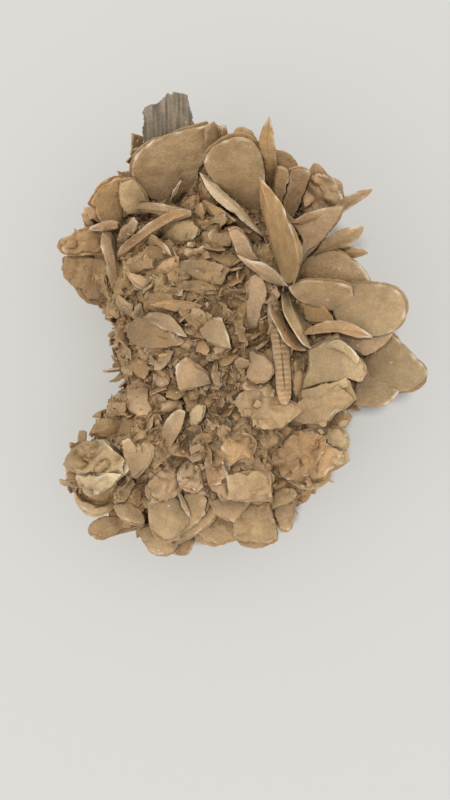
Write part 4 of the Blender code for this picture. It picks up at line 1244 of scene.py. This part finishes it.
def openness(points, normals, ways=72, cell=1.5, slack=1.0):
    """How much of the sky each point sees, 0 to 1: from how many ways it is the nearest in its cell."""
    seen = np.zeros(len(points))
    possible = np.full(len(points), 1e-6)
    for n in range(ways):
        way = np.array(on_sphere(n * GOLDEN_ANGLE, 1 - 2 * (n + 0.5) / ways))
        side = unit(np.cross(way, (0.3, 0.5, 0.8)))
        other = np.cross(way, side)
        u = np.floor(points @ side / cell).astype(np.int64)
        v = np.floor(points @ other / cell).astype(np.int64)
        u -= u.min()
        v -= v.min()
        key = u * (v.max() + 1) + v
        depth = points @ way
        nearest = np.full(key.max() + 1, -1e9)
        np.maximum.at(nearest, key, depth)
        facing = np.clip(normals @ way, 0, 1)
        seen += facing * (depth > nearest[key] - slack)
        possible += facing
    return seen / possible


def added(name, data):
    """An object in the scene that holds a mesh, a camera or a light."""
    obj = bpy.data.objects.new(name, data)
    bpy.context.scene.collection.objects.link(obj)
    return obj


def piece(name, part, open_share, material, flat):
    """An object of the visual model, its colours darkened with painted shade where a point sees little of the sky."""
    points, faces, colours = part
    low, high = (np.array(corner) / MM - np.array(MOVE) for corner in CAD_BOX)
    inside = np.clip(points, low + INSET, high - INSET)
    mesh = bpy.data.meshes.new(name)
    mesh.vertices.add(len(points))
    mesh.vertices.foreach_set("co", ((inside + MOVE) * MM).astype(np.float32).ravel())
    mesh.loops.add(len(faces) * 3)
    mesh.loops.foreach_set("vertex_index", faces.astype(np.int32).ravel())
    mesh.polygons.add(len(faces))
    mesh.polygons.foreach_set("loop_start", np.arange(0, len(faces) * 3, 3, dtype=np.int32))
    mesh.update(calc_edges=True)
    mesh.validate()
    if flat:
        mesh.shade_flat()
    else:
        mesh.shade_smooth()
        mesh.set_sharp_from_angle(angle=SHARP_ANGLE)
    # Painted shade: the colours are darkened toward a dark brown where a point sees little of the sky, in hollows,
    # creases and under the crystals.
    shade = smooth(-0.4, 0.5, open_share)[:, None]
    shade_tones = blended(linear("deep"), linear("hollow_shade"), smooth(0.0, 0.35, open_share))
    rgba = np.ones((len(points), 4), np.float32)
    rgba[:, :3] = np.clip(colours * shade + shade_tones * (1 - shade), 0, 1)
    layer = mesh.attributes.new("colour", "FLOAT_COLOR", "POINT")
    layer.data.foreach_set("color", rgba.ravel())
    mesh.materials.append(material)
    obj = added(name, mesh)
    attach(obj, "root")
    return obj


# Materials


def blank(name):
    """A new material and its shader."""
    material = bpy.data.materials.new(name)
    material.use_nodes = True
    return material, material.node_tree.nodes["Principled BSDF"]


def node(tree, kind, **settings):
    """A shader node with some of its settings and inputs filled in; an output given for an input is linked to it."""
    made = tree.nodes.new("ShaderNode" + kind)
    for key, value in settings.items():
        if key not in made.inputs:
            setattr(made, key, value)
        elif isinstance(value, bpy.types.NodeSocket):
            tree.links.new(value, made.inputs[key])
        else:
            made.inputs[key].default_value = value
    return made


def remap(tree, value, low, high, start=0.3, end=0.7):
    """A value brought from start and end to low and high."""
    ends = {"From Min": start, "From Max": end, "To Min": low, "To Max": high}
    return node(tree, "MapRange", **ends, Value=value).outputs["Result"]


def both(tree, operation, first, second):
    """Two values put together by an operation."""
    made = node(tree, "Math", operation=operation)
    tree.links.new(first, made.inputs[0])
    tree.links.new(second, made.inputs[1])
    return made.outputs["Value"]


def gypsum(name, grain, sparkle, roughness):
    """Sandy crystal: the colour written on the points, broken up by grains, with sparse white specks painted in as
    glints, and a fine bump.
    """
    material, shader = blank(name)
    tree = material.node_tree
    colour = node(tree, "Attribute", attribute_name="colour").outputs["Color"]
    place = node(tree, "TexCoord").outputs["Object"]
    fine = node(tree, "TexNoise", Vector=place, Scale=900.0, Detail=3.0, Roughness=0.6).outputs["Fac"]
    coarse = node(tree, "TexNoise", Vector=place, Scale=160.0, Detail=4.0, Roughness=0.6).outputs["Fac"]
    sand = node(tree, "TexVoronoi", Vector=place, Scale=1100.0).outputs
    speckle = both(tree, "MULTIPLY", remap(tree, fine, 1 - grain, 1 + grain), remap(tree, coarse, 0.84, 1.12))
    tinted = node(tree, "VectorMath", operation="SCALE", Vector=colour, Scale=speckle).outputs["Vector"]
    # Painted glints: sparse grains of the sand turn white in the base colour.
    glint = remap(tree, sand["Color"], 0.0, sparkle, 0.93, 0.97)
    bright = node(tree, "Mix", data_type="RGBA", Factor=glint, A=tinted, B=(*linear("white"), 1))
    worn = remap(tree, coarse, roughness - 0.12, roughness + 0.12)
    height = both(tree, "ADD", fine, sand["Distance"])
    bump = node(tree, "Bump", Strength=0.45, Distance=0.0003, Height=height)
    tree.links.new(bright.outputs["Result"], shader.inputs["Base Color"])
    tree.links.new(worn, shader.inputs["Roughness"])
    tree.links.new(bump.outputs["Normal"], shader.inputs["Normal"])
    shader.inputs["Specular IOR Level"].default_value = 0.35
    shader.inputs["Subsurface Weight"].default_value = 0.12
    shader.inputs["Subsurface Radius"].default_value = (0.003, 0.0016, 0.0008)
    shader.inputs["Subsurface Scale"].default_value = 1.0
    return material


# The scene


def camera():
    """The camera at the photograph's viewing angle: straight down, portrait."""
    data = bpy.data.cameras.new("camera")
    data.sensor_width = 24.0
    data.lens = data.sensor_width / 2 / (FRAME_HEIGHT / 2 * MM_PER_PIXEL / EYE[2])
    obj = added("camera", data)
    obj.location = [(eye + move) * MM for eye, move in zip(EYE, MOVE)]
    bpy.context.scene.camera = obj


def lamp(name, way, power, spread, colour=(1, 1, 1)):
    """A distant soft light that shines from a direction; its spread is in degrees."""
    data = bpy.data.lights.new(name, "SUN")
    data.energy = power
    data.angle = math.radians(spread)
    data.color = colour
    added(name, data).rotation_euler = Vector(way).to_track_quat("Z", "Y").to_euler()


def surroundings():
    """Plain pale floor and soft studio light."""
    bm = bmesh.new()
    bmesh.ops.create_grid(bm, x_segments=1, y_segments=1, size=FLOOR_HALF)
    mesh = bpy.data.meshes.new("floor")
    bm.to_mesh(mesh)
    bm.free()
    material, shader = blank("floor")
    shader.inputs["Base Color"].default_value = FLOOR_COLOUR
    shader.inputs["Roughness"].default_value = 0.9
    mesh.materials.append(material)
    added("floor", mesh)
    lamp("key", (-90, 30, 600), 1.5, 5, (1.0, 0.96, 0.91))
    lamp("fill_left", (-900, -500, 700), 0.2, 50)
    lamp("fill_right", (900, 500, 600), 0.1, 50)
    world = bpy.data.worlds.new("studio")
    world.use_nodes = True
    sky = world.node_tree.nodes["Background"]
    sky.inputs["Color"].default_value = SKY_COLOUR
    sky.inputs["Strength"].default_value = SKY_STRENGTH
    bpy.context.scene.world = world
    bpy.context.scene.view_settings.view_transform = "Standard"


def parts_of():
    """Every piece of the visual model by its name, as (points, triangles, colours)."""
    rng = np.random.default_rng(SEED)
    strewn = ball(rng) + rubble(rng) + flank(rng)
    parts, small, first = {}, [], 0
    for name, rows in DRAWN.items():
        parts[name], smaller = grown(rows, first)
        small += smaller
        first += len(rows)
    cover = cover_of(np.concatenate([points for points, _, _ in parts.values()]))
    parts["sheets"], smaller = grown([from_sheet(*sheet, cover) for sheet in SHEETS], first)
    small += smaller
    parts["crystals_strewn"], smaller = grown(strewn, first + len(SHEETS), STREWN_STEP, cover)
    small += smaller
    parts["crystals_small"], _ = grown(small, FIRST_SMALL, SMALL_STEP)
    parts["body"] = body(cover)
    points, faces, _ = parts["body"]
    rng = np.random.default_rng(SEED + 1)
    for name, (count, where, sizes, tilt, step, first) in SCALES.items():
        parts[name], _ = grown(scales(rng, points, faces, count, where, sizes, tilt), first, step, cover)
    for name, (count, where, sizes) in FLAKES.items():
        made = flakes(rng, points, faces, count, where, sizes)
        parts[name] = joined([part for part in made if uncovered(part, cover)])
    return parts


def main():
    """The pieces of the visual model, in their materials."""
    parts = parts_of()
    points, faces, _ = joined(list(parts.values()))
    open_share = openness(points, normals_of(points, faces))
    crystal = gypsum("gypsum crystal", 0.14, 0.35, 0.6)
    sandy = gypsum("gypsum sand", 0.22, 0.5, 0.75)
    start = 0
    for name, part in parts.items():
        end = start + len(part[0])
        material = crystal if name.startswith(("crystals", "sheets")) else sandy
        obj = piece(name, part, open_share[start:end], material, name in FLAKES)
        start = end
        if name == "body":
            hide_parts("sand_rose")


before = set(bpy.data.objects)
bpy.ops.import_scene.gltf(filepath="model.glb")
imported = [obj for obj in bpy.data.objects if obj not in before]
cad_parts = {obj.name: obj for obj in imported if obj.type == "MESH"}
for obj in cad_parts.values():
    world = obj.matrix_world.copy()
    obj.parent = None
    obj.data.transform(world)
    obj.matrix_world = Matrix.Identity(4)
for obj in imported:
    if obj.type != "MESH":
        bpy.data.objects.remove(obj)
CAD_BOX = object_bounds()
main()
camera()
surroundings()
